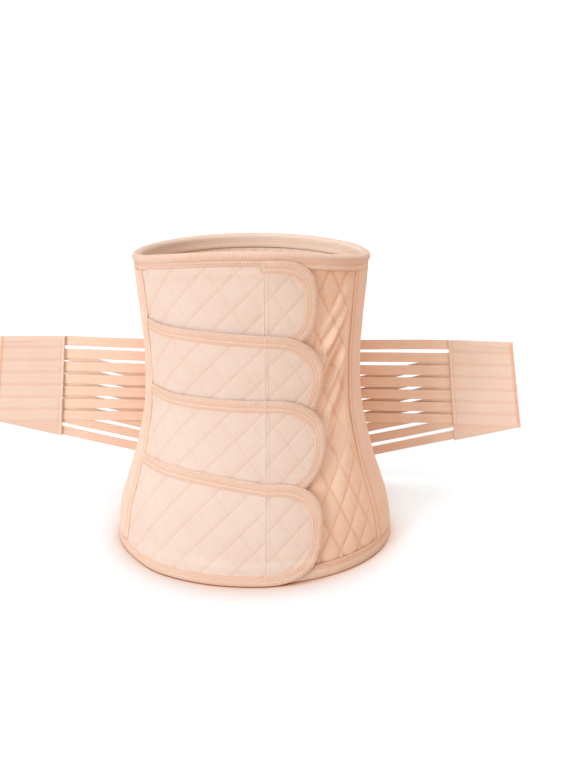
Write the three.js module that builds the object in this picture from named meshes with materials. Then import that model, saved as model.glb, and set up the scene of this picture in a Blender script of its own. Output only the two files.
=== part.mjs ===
// An abdominal binder: a quilted hourglass wall that stands by itself, closed in front by four
// overlapping flaps, with two layers of elastic strips and an end tab on each side.
// Millimetres, +Z up, the front faces -Y and the wearer's opening runs along Z.
import * as THREE from "three";

// Body sizes
const BODY_HEIGHT = 298; // floor to rim, at the sides
const FRONT_RISE = 15; // how far the rim rises at the front
const BACK_RISE = 3;
const RIM_WIDTH = 221;
const WAIST_WIDTH = 208.6;
const HIP_WIDTH = 284.6;
const DEPTH_SHARE = 0.8; // depth of every level section as a share of its width
const WALL = 3; // padded quilted cotton
const GAP = 0.3; // clearance between two pieces that touch
const SEAT = 0.8; // clearance between a curved sheet and what it lies on

// Tape and binding sizes
const TAPE = 1.2; // thickness of woven tape
const BAND_HEIGHT = 15; // how far the rim and hem bindings reach down or up the wall
const ROLL_HEIGHT = 7.5; // the full, rounded top of the rim binding
const ROLL_PROUD = 3.4; // how far that roll stands out from the wall
const SIDE_TAPE = 3; // thickness of a side tape with the seam under it
const SIDE_TAPE_EDGE = 0.885; // its front edge, as a share of the half width
const SIDE_TAPE_BACK_TURN = 92; // its rear edge, in degrees from the front

// Flap sizes
const FLAP = 2.4;
const FLAP_BINDING = 11; // width of the tape round a flap
const FLAP_BINDING_THICKNESS = 3;
const SEAM_X = 14.5; // the vertical seam between a flap's main panel and its end section
const STEP_START = 28; // a flap starts to rise this far below the flap that it covers
const STEP_END = 12;

// Strip and tab sizes
const STRIPS = 7;
const STRIP_WIDTH = 11.3;
const STRIP = 1;
const STRIP_PITCH = 15;
const SLANT_PITCH = 15.9;
const LEVEL_START = 179; // height of the highest level strip at the back tape, on the right
const LEFT_START = 175.5; // the same on the left
const LEVEL_DROP = 11; // how far the right side's level strips fall on their way out
const SLANT_START = 102.5; // height of the highest slanting strip at the back tape
const BACK_TAPE_WIDTH = 30;
const BACK_TAPE = 3.6;
const SLANT_LIFT = 2.4; // how far the slanting strips start behind the level ones
const BACK_TAPE_TOP = 190;
const BACK_TAPE_FOOT = 17;
const TAB_DEPTH = 108; // how far behind the body's axis the tabs stand
const TAB_START = 216; // inner upper corner of a tab, sideways from the axis
const TAB_LENGTH = 73;
const TAB_THICKNESS = 1.6;
const TAB_LEAN = 15.5; // how far the inner edge runs outwards on its way down
const TAB_OUTER_LEAN = 19;
const TAB_MARGIN = 0.8;

// How many faces each shape takes
const PLAIN_STEPS = 45; // columns round the part of the wall that has no folds
const FOLD_STEPS = 13; // columns across the folds at the wearer's left side
const FOLD_FROM = 34; // degrees from the front
const FOLD_TO = 66;
const FOLD_FADE = 7; // degrees over which the folds run out beside the side tape
const PANEL_COLUMNS = 12;
const SHEET_ROWS = 8;
const ARC_STEPS = 8; // from the top of a flap's round end to its middle

// The body's outline. height is a share of the local wall height. hip and rim are shares of the
// way from the waist's width to the hip's and to the rim's.
const OUTLINE = [
  { height: 0, hip: 0.995, rim: 0 },
  { height: 0.06, hip: 0.965, rim: 0 },
  { height: 0.1, hip: 0.92, rim: 0 },
  { height: 0.15, hip: 0.84, rim: 0 },
  { height: 0.2, hip: 0.71, rim: 0 },
  { height: 0.25, hip: 0.575, rim: 0 },
  { height: 0.3, hip: 0.445, rim: 0 },
  { height: 0.35, hip: 0.335, rim: 0 },
  { height: 0.4, hip: 0.235, rim: 0 },
  { height: 0.45, hip: 0.14, rim: 0 },
  { height: 0.5, hip: 0.07, rim: 0 },
  { height: 0.56, hip: 0.03, rim: 0 },
  { height: 0.63, hip: 0.01, rim: 0 },
  { height: 0.7, hip: 0, rim: 0.03 },
  { height: 0.8, hip: 0, rim: 0.31 },
  { height: 0.9, hip: 0, rim: 0.7 },
  { height: 1, hip: 0, rim: 1 },
];

// Soft folds that lean across the bare side of the wall. turn is where a fold's middle lies, in
// degrees from the front, height its middle as a share of the wall height, lean the degrees that
// it turns over the whole wall height, span its half length as a share of the wall height, and
// rise how far its ridge stands out.
const FOLDS = [
  { turn: 44, height: 0.74, lean: 70, span: 0.11, breadth: 4, rise: 2.2 },
  { turn: 48, height: 0.68, lean: 75, span: 0.14, breadth: 3, rise: -1.6 },
  { turn: 52, height: 0.66, lean: 65, span: 0.15, breadth: 4, rise: 2.8 },
  { turn: 57, height: 0.6, lean: 50, span: 0.15, breadth: 3, rise: -1.8 },
  { turn: 58, height: 0.5, lean: 45, span: 0.14, breadth: 4, rise: 2 },
  { turn: 50, height: 0.36, lean: 70, span: 0.12, breadth: 5, rise: 1.8 },
];

// The flaps from the top down. left, middle and seam are the heights of the top edge at the side
// tape, halfway and at the vertical seam, foot is the height of the bottom edge, all as shares of
// the local wall height. reach is how far the round end goes past the front's middle, as a share
// of the waist's half width. square shapes the end: 2 is an ellipse, more is squarer.
const FLAPS = [
  { left: 1, middle: 1, seam: 1, foot: 0.712, reach: 0.58, square: 3 },
  { left: 0.806, middle: 0.78, seam: 0.76, foot: 0.45, reach: 0.625, square: 2.3 },
  { left: 0.59, middle: 0.575, seam: 0.565, foot: 0.258, reach: 0.652, square: 2.3 },
  { left: 0.352, middle: 0.35, seam: 0.316, foot: 0, reach: 0.638, square: 2.6 },
];

// The two sides' strips. start is the highest level strip's height at the back tape and drop is
// how far it falls on its way to the end of the tab.
const SIDES = [
  { name: "right", sign: 1, start: LEVEL_START, drop: LEVEL_DROP },
  { name: "left", sign: -1, start: LEFT_START, drop: 0 },
];

const COTTON = { color: 0xf1d5c4, roughness: 0.92, metalness: 0 };
const TWILL = { color: 0xecc8b1, roughness: 0.88, metalness: 0 };
const ELASTIC = { color: 0xeed0bd, roughness: 0.7, metalness: 0 };
const HOOK = { color: 0xeccfbd, roughness: 0.85, metalness: 0 };

const RADIAN = Math.PI / 180;
const FULL_TURN = 360; // degrees
const mix = (from, to, share) => from + (to - from) * share;
const steps = (count) => Array.from({ length: count + 1 }, (_, i) => i / count);

// A soft step from 0 to 1 between two values.
function rise(value, from, to) {
  const share = Math.min(1, Math.max(0, (value - from) / (to - from)));
  return share * share * (3 - 2 * share);
}

// Height of the wall's rim where the wall faces turn, in radians from the front.
function rimHeight(turn) {
  const front = Math.max(0, Math.cos(turn)) ** 2;
  const back = Math.max(0, -Math.cos(turn)) ** 2;
  return BODY_HEIGHT + FRONT_RISE * front + BACK_RISE * back;
}

// Half of the body's width at a share of the wall height.
function halfWidth(share) {
  const upper = Math.max(1, OUTLINE.findIndex((row) => row.height >= Math.min(1, share)));
  const [low, high] = [OUTLINE[upper - 1], OUTLINE[upper]];
  const along = Math.max(0, (Math.min(1, share) - low.height) / (high.height - low.height));
  const hip = mix(low.hip, high.hip, along) * (HIP_WIDTH - WAIST_WIDTH);
  const rim = mix(low.rim, high.rim, along) * (RIM_WIDTH - WAIST_WIDTH);
  return (WAIST_WIDTH + hip + rim) / 2;
}

// How far the folds move the wall out at a turn and a share of the wall height. The side tape
// and the bindings hold the wall flat.
function foldRise(turn, share) {
  const tapeTurn = Math.asin(SIDE_TAPE_EDGE) / RADIAN;
  const free = 1 - rise(turn / RADIAN, tapeTurn - FOLD_FADE, tapeTurn - 1);
  const open = rise(share, 0.06, 0.14) * (1 - rise(share, 0.86, 0.93));
  return FOLDS.reduce((sum, fold) => {
    const middle = fold.turn + fold.lean * (share - fold.height);
    const across = (turn / RADIAN - middle) / fold.breadth;
    const along = (share - fold.height) / fold.span;
    const ridge = fold.rise * Math.exp(-across * across) * Math.exp(-along * along);
    return sum + ridge * free * open;
  }, 0);
}

// A point over the wall's outer face: turn is measured from the front towards +X, z is its height
// and lift its distance from the face, negative inside the wall.
function onBody(turn, z, lift) {
  const share = z / rimHeight(turn);
  const width = halfWidth(share);
  const depth = width * DEPTH_SHARE;
  const out = new THREE.Vector3(Math.sin(turn) / width, -Math.cos(turn) / depth, 0).normalize();
  const point = new THREE.Vector3(width * Math.sin(turn), -depth * Math.cos(turn), z);
  return point.addScaledVector(out, lift + foldRise(turn, share));
}

// The turn at which the front of the wall lies at x.
function turnAt(x, z) {
  let turn = 0;
  for (let i = 0; i < 3; i += 1) turn = Math.asin(x / halfWidth(z / rimHeight(turn)));
  return turn;
}

// A closed sheet between two grids of points, each a list of rows. A looped sheet's rows close on
// themselves.
function sheet(front, back, looped = false) {
  const rows = front.length;
  const columns = front[0].length;
  const points = [...front.flat(), ...back.flat()];
  const index = (side, row, column) => (side * rows + row) * columns + (column % columns);
  const faces = [];
  const quad = (a, b, c, d) => faces.push(a, b, c, a, c, d);
  const across = looped ? columns : columns - 1;
  for (let c = 0; c < across; c += 1) {
    for (let r = 0; r < rows - 1; r += 1) {
      quad(index(0, r, c), index(0, r, c + 1), index(0, r + 1, c + 1), index(0, r + 1, c));
      quad(index(1, r, c), index(1, r + 1, c), index(1, r + 1, c + 1), index(1, r, c + 1));
    }
    quad(index(0, 0, c), index(1, 0, c), index(1, 0, c + 1), index(0, 0, c + 1));
    const top = rows - 1;
    quad(index(0, top, c), index(0, top, c + 1), index(1, top, c + 1), index(1, top, c));
  }
  for (let r = 0; !looped && r < rows - 1; r += 1) {
    const end = columns - 1;
    quad(index(0, r, 0), index(0, r + 1, 0), index(1, r + 1, 0), index(1, r, 0));
    quad(index(0, r, end), index(1, r, end), index(1, r + 1, end), index(0, r + 1, end));
  }
  return closedGeometry(points, faces);
}

// A geometry whose faces all point outwards.
function closedGeometry(points, faces) {
  const cross = new THREE.Vector3();
  let volume = 0;
  for (let i = 0; i < faces.length; i += 3) {
    cross.crossVectors(points[faces[i]], points[faces[i + 1]]);
    volume += cross.dot(points[faces[i + 2]]);
  }
  const geometry = new THREE.BufferGeometry().setFromPoints(points);
  geometry.setIndex(volume > 0 ? faces : faces.reverse());
  geometry.computeVertexNormals();
  return geometry;
}

function piece(name, geometry, finish) {
  const mesh = new THREE.Mesh(geometry, new THREE.MeshStandardMaterial(finish));
  mesh.name = name;
  return mesh;
}

// The columns round the body: even ones, and closer ones where the folds are.
function roundTurns() {
  const plain = FOLD_FROM + FULL_TURN - FOLD_TO;
  const folded = steps(FOLD_STEPS).map((share) => mix(FOLD_FROM, FOLD_TO, share));
  const even = steps(PLAIN_STEPS).slice(1, -1);
  return [...folded, ...even.map((share) => FOLD_TO + plain * share)].map((turn) => turn * RADIAN);
}

// A ring round the body from two outlines of its section, each a list of [lift, height] pairs that
// a function works out for a turn.
function ring(outside, inside) {
  const turns = roundTurns();
  const rows = outside(0).length;
  const grid = (outline) =>
    Array.from({ length: rows }, (_, row) =>
      turns.map((turn) => {
        const [lift, height] = outline(turn)[row];
        return onBody(turn, height, lift);
      }),
    );
  return sheet(grid(outside), grid(inside), true);
}

function bodyWall() {
  const foot = TAPE + GAP;
  const heights = OUTLINE.map((row) => row.height);
  const outline = (lift) => (turn) =>
    heights.map((share) => {
      const z = share * rimHeight(turn);
      return [lift, Math.min(Math.max(z, foot), rimHeight(turn) - foot)];
    });
  return piece("body_wall", ring(outline(0), outline(-WALL)), COTTON);
}

// The tape folded over the rim: a full roll on top and a flat band below it.
function rimBinding() {
  const inner = -WALL - GAP;
  const shoulder = ROLL_HEIGHT / 3;
  const outside = (turn) =>
    [
      [inner - TAPE, BAND_HEIGHT],
      [inner - TAPE, shoulder],
      [-WALL, 0],
      [0, 0],
      [GAP + ROLL_PROUD, shoulder],
      [GAP + ROLL_PROUD, ROLL_HEIGHT - shoulder / 2],
      [GAP + TAPE, ROLL_HEIGHT],
      [GAP + TAPE, BAND_HEIGHT],
    ].map(([lift, drop]) => [lift, rimHeight(turn) - drop]);
  const inside = (turn) =>
    [
      [inner, BAND_HEIGHT],
      [inner, TAPE],
      [-WALL * 0.7, TAPE],
      [-WALL * 0.3, TAPE],
      [GAP, TAPE],
      [GAP, ROLL_HEIGHT - shoulder],
      [GAP, ROLL_HEIGHT],
      [GAP, BAND_HEIGHT],
    ].map(([lift, drop]) => [lift, rimHeight(turn) - drop]);
  return piece("rim_binding", ring(outside, inside), TWILL);
}

// The tape folded round the wall's foot, flat underneath.
function hemBinding() {
  const inner = -WALL - GAP;
  const outside = () => [
    [inner - TAPE, BAND_HEIGHT],
    [inner - TAPE, 0],
    [GAP + TAPE, 0],
    [GAP + TAPE, BAND_HEIGHT],
  ];
  const inside = () => [
    [inner, BAND_HEIGHT],
    [inner, TAPE],
    [GAP, TAPE],
    [GAP, BAND_HEIGHT],
  ];
  return piece("hem_binding", ring(outside, inside), TWILL);
}

// A vertical tape over a side seam, between the hem and rim bindings.
function sideTape(name, side) {
  const grid = (lift) =>
    OUTLINE.slice(1).map((row) =>
      steps(5).map((across) => {
        const edge = Math.asin(SIDE_TAPE_EDGE);
        const turn = side * mix(edge, SIDE_TAPE_BACK_TURN * RADIAN, across);
        const ceiling = rimHeight(turn) - BAND_HEIGHT - GAP;
        return onBody(turn, Math.min(row.height * rimHeight(turn), ceiling), lift);
      }),
    );
  return piece(name, sheet(grid(SEAT + SIDE_TAPE), grid(SEAT)), TWILL);
}

// Where a flap's top and bottom edges run above x, and the ellipse of its end.
function flapEdges(flap) {
  const front = rimHeight(turnAt(SEAM_X, BODY_HEIGHT));
  const ceiling = (turn) => rimHeight(turn) - ROLL_HEIGHT - GAP;
  const seamTop = Math.min(flap.seam * front, ceiling(0));
  const foot = flap.foot * front;
  return {
    foot,
    middle: (seamTop + foot) / 2,
    halfHeight: (seamTop - foot) / 2,
    length: (flap.reach * WAIST_WIDTH) / 2 - SEAM_X,
    // share runs from the side tape to the seam
    top(share, turn) {
      const [a, b, c] = [flap.left, flap.middle, flap.seam];
      const height = a + share * (4 * b - 3 * a - c) + share * share * (2 * a + 2 * c - 4 * b);
      return Math.min(height * rimHeight(turn), ceiling(turn), seamTop + (1 - share) * seamTop);
    },
  };
}

// How far a flap's inner face lies from the wall: it rides over the bindings and over the foot of
// the flap above.
function flapLift(above, turn, z) {
  const rim = rimHeight(turn);
  const band = BAND_HEIGHT + 3;
  const overRim = rise(z, rim - band - 8, rim - band);
  const overHem = 1 - rise(z, band, band + 8);
  const aboveFoot = above ? flapEdges(above).foot : Infinity;
  const overFlap = above ? rise(z, aboveFoot - STEP_START, aboveFoot - STEP_END) : 0;
  const overBand = Math.max(overRim, overHem) * (TAPE + GAP);
  return SEAT + overBand + overFlap * (FLAP_BINDING_THICKNESS + SEAT);
}

// A point over a flap's round end. angle is 90 degrees at the top of the end and -90 at its foot,
// inset is the distance inside the flap's edge.
function endPoint(flap, angle, inset) {
  const edges = flapEdges(flap);
  const power = 2 / flap.square;
  const out = Math.cos(angle) ** power;
  const up = Math.sign(angle) * Math.abs(Math.sin(angle)) ** power;
  return {
    x: SEAM_X + (edges.length - inset) * out,
    z: edges.middle + (edges.halfHeight - inset) * up,
  };
}

// The turn of a column between the side tape and the seam.
function columnTurn(share, z) {
  const left = -Math.asin(SIDE_TAPE_EDGE) + GAP / (WAIST_WIDTH / 2);
  return mix(left, turnAt(SEAM_X - GAP / 2, z), share);
}

function flapPanel(name, flap, above) {
  const edges = flapEdges(flap);
  const inset = FLAP_BINDING + GAP;
  const grid = (lift) =>
    steps(SHEET_ROWS).map((up) =>
      steps(PANEL_COLUMNS).map((share) => {
        const rough = columnTurn(share, edges.middle);
        const z = mix(edges.foot + inset, edges.top(share, rough) - inset, up);
        const turn = columnTurn(share, z);
        return onBody(turn, z, flapLift(above, turn, z) + lift);
      }),
    );
  return piece(name, sheet(grid(FLAP), grid(0)), COTTON);
}

function flapEnd(name, flap, above) {
  const angles = steps(ARC_STEPS).slice(0, -1).map((share) => (1 - share) * 90 * RADIAN);
  const inset = FLAP_BINDING + GAP;
  const grid = (lift) =>
    steps(SHEET_ROWS).map((up) =>
      angles.map((angle, column) => {
        const high = endPoint(flap, angle, inset);
        const low = endPoint(flap, -angle, inset);
        const z = mix(low.z, high.z, up);
        const turn = turnAt(column ? high.x : SEAM_X + GAP / 2, z);
        return onBody(turn, z, flapLift(above, turn, z) + lift);
      }),
    );
  return piece(name, sheet(grid(FLAP), grid(0)), COTTON);
}

// The tape round a flap: along its top edge, round the end and back along its foot.
function flapBinding(name, flap, above) {
  const edges = flapEdges(flap);
  const straight = (share, inset, top) => {
    const rough = columnTurn(share, edges.middle);
    const z = top ? edges.top(share, rough) - inset : edges.foot + inset;
    return { turn: columnTurn(share, z), z };
  };
  const round = (angle, inset) => {
    const { x, z } = endPoint(flap, angle, inset);
    return { turn: turnAt(x, z), z };
  };
  const shares = steps(PANEL_COLUMNS);
  const angles = steps(ARC_STEPS * 2).map((share) => (1 - 2 * share) * 90 * RADIAN);
  const path = (inset) => [
    ...shares.slice(0, -1).map((share) => straight(share, inset, true)),
    ...angles.map((angle) => round(angle, inset)),
    ...shares.slice(0, -1).reverse().map((share) => straight(share, inset, false)),
  ];
  const grid = (lift) =>
    [path(FLAP_BINDING), path(0)].map((row) =>
      row.map(({ turn, z }) => onBody(turn, z, flapLift(above, turn, z) + lift)),
    );
  return piece(name, sheet(grid(FLAP_BINDING_THICKNESS), grid(0)), TWILL);
}

// Height of a level strip's middle, x away from the axis.
function levelHeight(side, strip, x) {
  const far = TAB_START + TAB_LENGTH;
  return side.start - strip * STRIP_PITCH - (side.drop * x) / far;
}

// Height of a slanting strip's middle: it meets its level strip at the end of the tab.
function slantHeight(side, strip, x) {
  const far = tabEnd(strip);
  const start = SLANT_START - strip * SLANT_PITCH;
  return mix(start, levelHeight(side, strip, far), x / far);
}

// How far out the tab's two edges lie beside a strip, counted from the top.
const tabEdge = (strip) => TAB_START + (TAB_LEAN * strip) / (STRIPS - 1);
const tabEnd = (strip) => TAB_START + TAB_LENGTH + (TAB_OUTER_LEAN * strip) / (STRIPS - 1);

// A flat elastic strip from the back tape to the end of its tab.
function strip(name, side, number, heightAt, startLift, tabLift) {
  const start = BACK_TAPE_WIDTH / 2 + SEAT + GAP;
  const foot = Math.max(0, heightAt(side, number, start) - STRIP_WIDTH / 2);
  const wall = onBody(Math.PI - turnAt(start, foot), foot, 0).y;
  const stations = [
    { x: start, y: wall + SEAT + startLift },
    { x: tabEdge(number) - TAB_MARGIN, y: TAB_DEPTH + tabLift },
    { x: tabEnd(number) - TAB_MARGIN, y: TAB_DEPTH + tabLift },
  ];
  const grid = (thickness) =>
    [-0.5, 0.5].map((across) =>
      stations.map(({ x, y }) => {
        const z = heightAt(side, number, x) + across * STRIP_WIDTH;
        return new THREE.Vector3(side.sign * x, y + thickness, z);
      }),
    );
  return piece(name, sheet(grid(STRIP), grid(0)), ELASTIC);
}

// The fabric tab that the strips of one side end on.
function endTab(side) {
  const last = STRIPS - 1;
  const top = (x) => levelHeight(side, 0, x) + STRIP_WIDTH / 2 + TAB_MARGIN;
  const foot = (x) => slantHeight(side, last, x) - STRIP_WIDTH / 2 - TAB_MARGIN;
  const back = TAB_DEPTH - GAP;
  const grid = (y) => [
    [tabEdge(last), tabEnd(last)].map((x) => new THREE.Vector3(side.sign * x, y, foot(x))),
    [tabEdge(0), tabEnd(0)].map((x) => new THREE.Vector3(side.sign * x, y, top(x))),
  ];
  return piece(`${side.name}_end_tab`, sheet(grid(back), grid(back - TAB_THICKNESS)), HOOK);
}

// The tape down the middle of the back that the strips are sewn to.
function backTape() {
  const grid = (lift) =>
    steps(SHEET_ROWS * 2).map((up) =>
      [-0.5, 0, 0.5].map((across) => {
        const z = mix(BACK_TAPE_FOOT, BACK_TAPE_TOP, up);
        const turn = Math.PI - turnAt(across * BACK_TAPE_WIDTH, z);
        return onBody(turn, z, lift);
      }),
    );
  return piece("back_tape", sheet(grid(SEAT + BACK_TAPE), grid(SEAT)), TWILL);
}

const binder = new THREE.Group();
binder.add(bodyWall(), rimBinding(), hemBinding(), backTape());
binder.add(sideTape("right_side_tape", 1), sideTape("left_side_tape", -1));
FLAPS.forEach((flap, i) => {
  const above = FLAPS[i - 1];
  const number = i + 1;
  binder.add(flapPanel(`flap_${number}_panel`, flap, above));
  binder.add(flapEnd(`flap_${number}_end`, flap, above));
  binder.add(flapBinding(`flap_${number}_binding`, flap, above));
});
for (const side of SIDES) {
  for (let i = 0; i < STRIPS; i += 1) {
    const number = i + 1;
    const level = `${side.name}_level_strip_${number}`;
    const slant = `${side.name}_slant_strip_${number}`;
    binder.add(strip(level, side, i, levelHeight, 0, 0));
    binder.add(strip(slant, side, i, slantHeight, SLANT_LIFT, STRIP + GAP));
  }
  binder.add(endTab(side));
}

// The origin lies under the middle of the whole object, on the floor.
const box = new THREE.Box3().setFromObject(binder, true);
const centre = box.getCenter(new THREE.Vector3());
binder.position.set(-centre.x, -centre.y, -box.min.z);

export default binder;
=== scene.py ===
# %% [markdown]
# # An abdominal binder
# The real object is a quilted cotton wall, shaped like an hourglass, that stands by itself on its
# bound hem. Four flaps close it in front, and elastic strips cross behind it and end in two tabs.
# The solids from the frame say where each piece lies. This lesson dresses them in cloth.

# %% Load the frame
import math

import bpy
import numpy as np
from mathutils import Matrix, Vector


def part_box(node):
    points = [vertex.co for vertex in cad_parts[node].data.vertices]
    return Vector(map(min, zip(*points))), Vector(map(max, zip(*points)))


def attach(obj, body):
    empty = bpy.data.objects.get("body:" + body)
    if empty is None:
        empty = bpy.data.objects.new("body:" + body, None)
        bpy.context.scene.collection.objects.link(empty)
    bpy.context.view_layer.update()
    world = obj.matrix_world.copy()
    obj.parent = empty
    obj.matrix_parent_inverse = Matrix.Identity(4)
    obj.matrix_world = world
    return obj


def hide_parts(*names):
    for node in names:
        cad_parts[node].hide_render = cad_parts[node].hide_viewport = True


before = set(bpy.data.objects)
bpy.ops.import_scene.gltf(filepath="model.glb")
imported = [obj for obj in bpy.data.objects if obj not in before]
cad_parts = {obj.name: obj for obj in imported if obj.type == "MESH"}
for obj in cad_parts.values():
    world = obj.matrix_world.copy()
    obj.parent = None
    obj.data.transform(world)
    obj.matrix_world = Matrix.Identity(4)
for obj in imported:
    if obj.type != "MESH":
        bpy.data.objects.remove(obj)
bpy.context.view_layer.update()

bpy.ops.object.select_all(action="DESELECT")

# %% [markdown]
# ## Sizes
# A maker works from a few sizes: the height of the wall, how far it rises in front and behind, and
# its widths at rim, waist and hip. The shape below is worked out from them, in metres, so a piece
# never has to be fitted by eye. Each later piece adds its own sizes where it is made. The axis of
# the body is read from the frame, because the strips behind it shift the middle of the whole box.

# %% Named sizes
MM = 0.001
BODY_HEIGHT = 298 * MM
FRONT_RISE = 15 * MM
BACK_RISE = 3 * MM
RIM_WIDTH = 221 * MM
WAIST_WIDTH = 208.6 * MM
HIP_WIDTH = 284.6 * MM
DEPTH_SHARE = 0.8  # the body's depth as a share of its width

wall_low, wall_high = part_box("body_wall")
AXIS_Y = (wall_low.y + wall_high.y) / 2
print("the body's axis lies at y =", round(AXIS_Y, 5))

# %% [markdown]
# ## The outline
# Seen from the front, the wall is an hourglass: wide at the hip, narrow at the waist, a little
# wider at the rim. The outline could be a curve drawn by hand, but a table in shares of the widths
# keeps its shape when a width changes. Smoothing the table takes the corners out, as cloth would.

# %% The outline
OUTLINE = np.array([
    # share of the height, share of the way to the hip's width, share of the way to the rim's
    (0.00, 0.995, 0.00), (0.06, 0.965, 0.00), (0.10, 0.920, 0.00), (0.15, 0.840, 0.00),
    (0.20, 0.710, 0.00), (0.25, 0.575, 0.00), (0.30, 0.445, 0.00), (0.35, 0.335, 0.00),
    (0.40, 0.235, 0.00), (0.45, 0.140, 0.00), (0.50, 0.070, 0.00), (0.56, 0.030, 0.00),
    (0.63, 0.010, 0.00), (0.70, 0.000, 0.03), (0.80, 0.000, 0.31), (0.90, 0.000, 0.70),
    (1.00, 0.000, 1.00),
])


def rise(value, start, end):
    """A soft step from 0 to 1 between two values."""
    share = np.clip((value - start) / (end - start), 0, 1)
    return share * share * (3 - 2 * share)


def mix(start, end, share):
    return start + (end - start) * share


def bell(off, width):
    """A soft line: 1 where off is 0, and almost nothing two widths away."""
    return np.exp(-((off / width) ** 2))


def smoothed(values, reach):
    """The same values with each one averaged over its neighbours."""
    window = np.hanning(2 * reach + 1)
    padded = np.pad(values, reach, mode="reflect", reflect_type="odd")
    return np.convolve(padded, window / window.sum(), mode="valid")


SMOOTH_REACH = 14  # steps of the fine table that one value is averaged over, to each side
fine_shares = np.linspace(0, 1, 401)
fine_widths = (
    WAIST_WIDTH
    + np.interp(fine_shares, OUTLINE[:, 0], OUTLINE[:, 1]) * (HIP_WIDTH - WAIST_WIDTH)
    + np.interp(fine_shares, OUTLINE[:, 0], OUTLINE[:, 2]) * (RIM_WIDTH - WAIST_WIDTH)
) / 2
fine_widths = smoothed(fine_widths, SMOOTH_REACH)


def rim_height(turn):
    front = np.maximum(0, np.cos(turn)) ** 2
    back = np.maximum(0, -np.cos(turn)) ** 2
    return BODY_HEIGHT + FRONT_RISE * front + BACK_RISE * back


def half_width(share):
    return np.interp(share, fine_shares, fine_widths)


print("half width at hip, waist, rim:", [round(float(half_width(s)), 4) for s in (0, 0.63, 1)])

# %% [markdown]
# ## Folds
# Where the waist is drawn in, the bare side of the wall has too much cloth, and it gathers in folds
# that lean from the side tape down to the flaps. A cloth simulation would put them anywhere, and
# here they have to lie as on the real wall, so each fold is a row in a table: where it is, how it
# leans, how long and broad it is, and how far it rises or sinks. The soft folds carry the flaps
# too. The sharper drapes are in the wall's cloth alone and fade out where the flaps press on it.

# %% Folds and drapes
SIDE_TAPE_EDGE = 0.885  # sine of the turn at which a side tape starts
FOLD_FADE = 7  # degrees before the side tape over which the folds die down
FOLDS = [
    dict(turn=44, height=0.74, lean=70, span=0.11, breadth=4, rise=2.2),
    dict(turn=48, height=0.68, lean=75, span=0.14, breadth=3, rise=-1.6),
    dict(turn=52, height=0.66, lean=65, span=0.15, breadth=4, rise=2.8),
    dict(turn=57, height=0.60, lean=50, span=0.15, breadth=3, rise=-1.8),
    dict(turn=58, height=0.50, lean=45, span=0.14, breadth=4, rise=2.0),
    dict(turn=50, height=0.36, lean=70, span=0.12, breadth=5, rise=1.8),
]
DRAPES = [  # sharper folds that only the wall's cloth has
    dict(turn=41.0, height=0.79, lean=125, span=0.100, breadth=2.2, rise=2.4),
    dict(turn=45.0, height=0.78, lean=125, span=0.095, breadth=1.7, rise=-2.0),
    dict(turn=49.0, height=0.77, lean=125, span=0.115, breadth=2.2, rise=2.6),
    dict(turn=47.5, height=0.73, lean=125, span=0.105, breadth=1.6, rise=-2.2),
    dict(turn=45.0, height=0.68, lean=120, span=0.105, breadth=2.1, rise=2.2),
    dict(turn=49.0, height=0.68, lean=120, span=0.100, breadth=1.6, rise=-2.0),
    dict(turn=51.5, height=0.66, lean=115, span=0.110, breadth=2.1, rise=2.4),
    dict(turn=47.0, height=0.59, lean=110, span=0.090, breadth=1.6, rise=-1.8),
    dict(turn=51.0, height=0.58, lean=105, span=0.100, breadth=2.1, rise=2.0),
    dict(turn=51.0, height=0.54, lean=100, span=0.085, breadth=1.6, rise=-1.6),
    dict(turn=53.0, height=0.51, lean=95, span=0.090, breadth=2.2, rise=1.8),
    dict(turn=49.0, height=0.43, lean=85, span=0.080, breadth=2.2, rise=1.4),
]
FLAP_TURNS = (40, 35.5)  # degrees at which the flaps let the wall go, below and above the waist


def fold_sum(folds, turn, share):
    """The height of a table of folds, which fade out at the side tape, the rim and the hem."""
    tape_turn = math.degrees(math.asin(SIDE_TAPE_EDGE))
    degrees = np.degrees(turn)
    free = 1 - rise(degrees, tape_turn - FOLD_FADE, tape_turn - 1)
    free = free * rise(share, 0.06, 0.14) * (1 - rise(share, 0.86, 0.93))
    total = 0
    for fold in folds:
        middle = fold["turn"] + fold["lean"] * (share - fold["height"])
        across = (degrees - middle) / fold["breadth"]
        along = (share - fold["height"]) / fold["span"]
        total = total + fold["rise"] * MM * np.exp(-across**2 - along**2)
    return total * free


def drape_rise(turn, share):
    """The sharper folds, which fade out where the flaps press on the wall."""
    edge = mix(*FLAP_TURNS, rise(share, 0.66, 0.74))
    return fold_sum(DRAPES, turn, share) * rise(np.degrees(turn), edge, edge + 4.5)


print(len(FOLDS), "soft folds and", len(DRAPES), "drapes")

# %% [markdown]
# ## The body's surface
# All the cloth lies on one surface, so one function has to say where that surface is. It takes a
# turn round the body, a height and a lift off the surface. The tapes, the flaps and even the
# stitches ask this function for their place, so that nothing floats or cuts through.

# %% The surface
def on_body(turn, z, lift):
    """Points over the wall's outer face. turn is 0 at the front and grows towards +X."""
    turn, z, lift = np.broadcast_arrays(turn, z, lift)
    share = z / rim_height(turn)
    width = half_width(share)
    depth = width * DEPTH_SHARE
    out_x, out_y = np.sin(turn) / width, -np.cos(turn) / depth
    length = np.hypot(out_x, out_y)
    off = lift + fold_sum(FOLDS, turn, share)
    x = width * np.sin(turn) + out_x / length * off
    y = -depth * np.cos(turn) + out_y / length * off + AXIS_Y
    return np.stack([x, y, z], -1)


def turn_at(x, z):
    """The turn at which the front of the wall lies at x."""
    turn = np.zeros(np.broadcast(x, z).shape)
    for _ in range(3):  # the rim's height depends on the turn, and three rounds settle it
        turn = np.arcsin(np.clip(x / half_width(z / rim_height(turn)), -1, 1))
    return turn


def arc(turn, z):
    """Distance round the body from the front, as a tape measure on the cloth gives it."""
    return turn * half_width(z / rim_height(turn)) * (1 + DEPTH_SHARE) / 2


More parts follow.
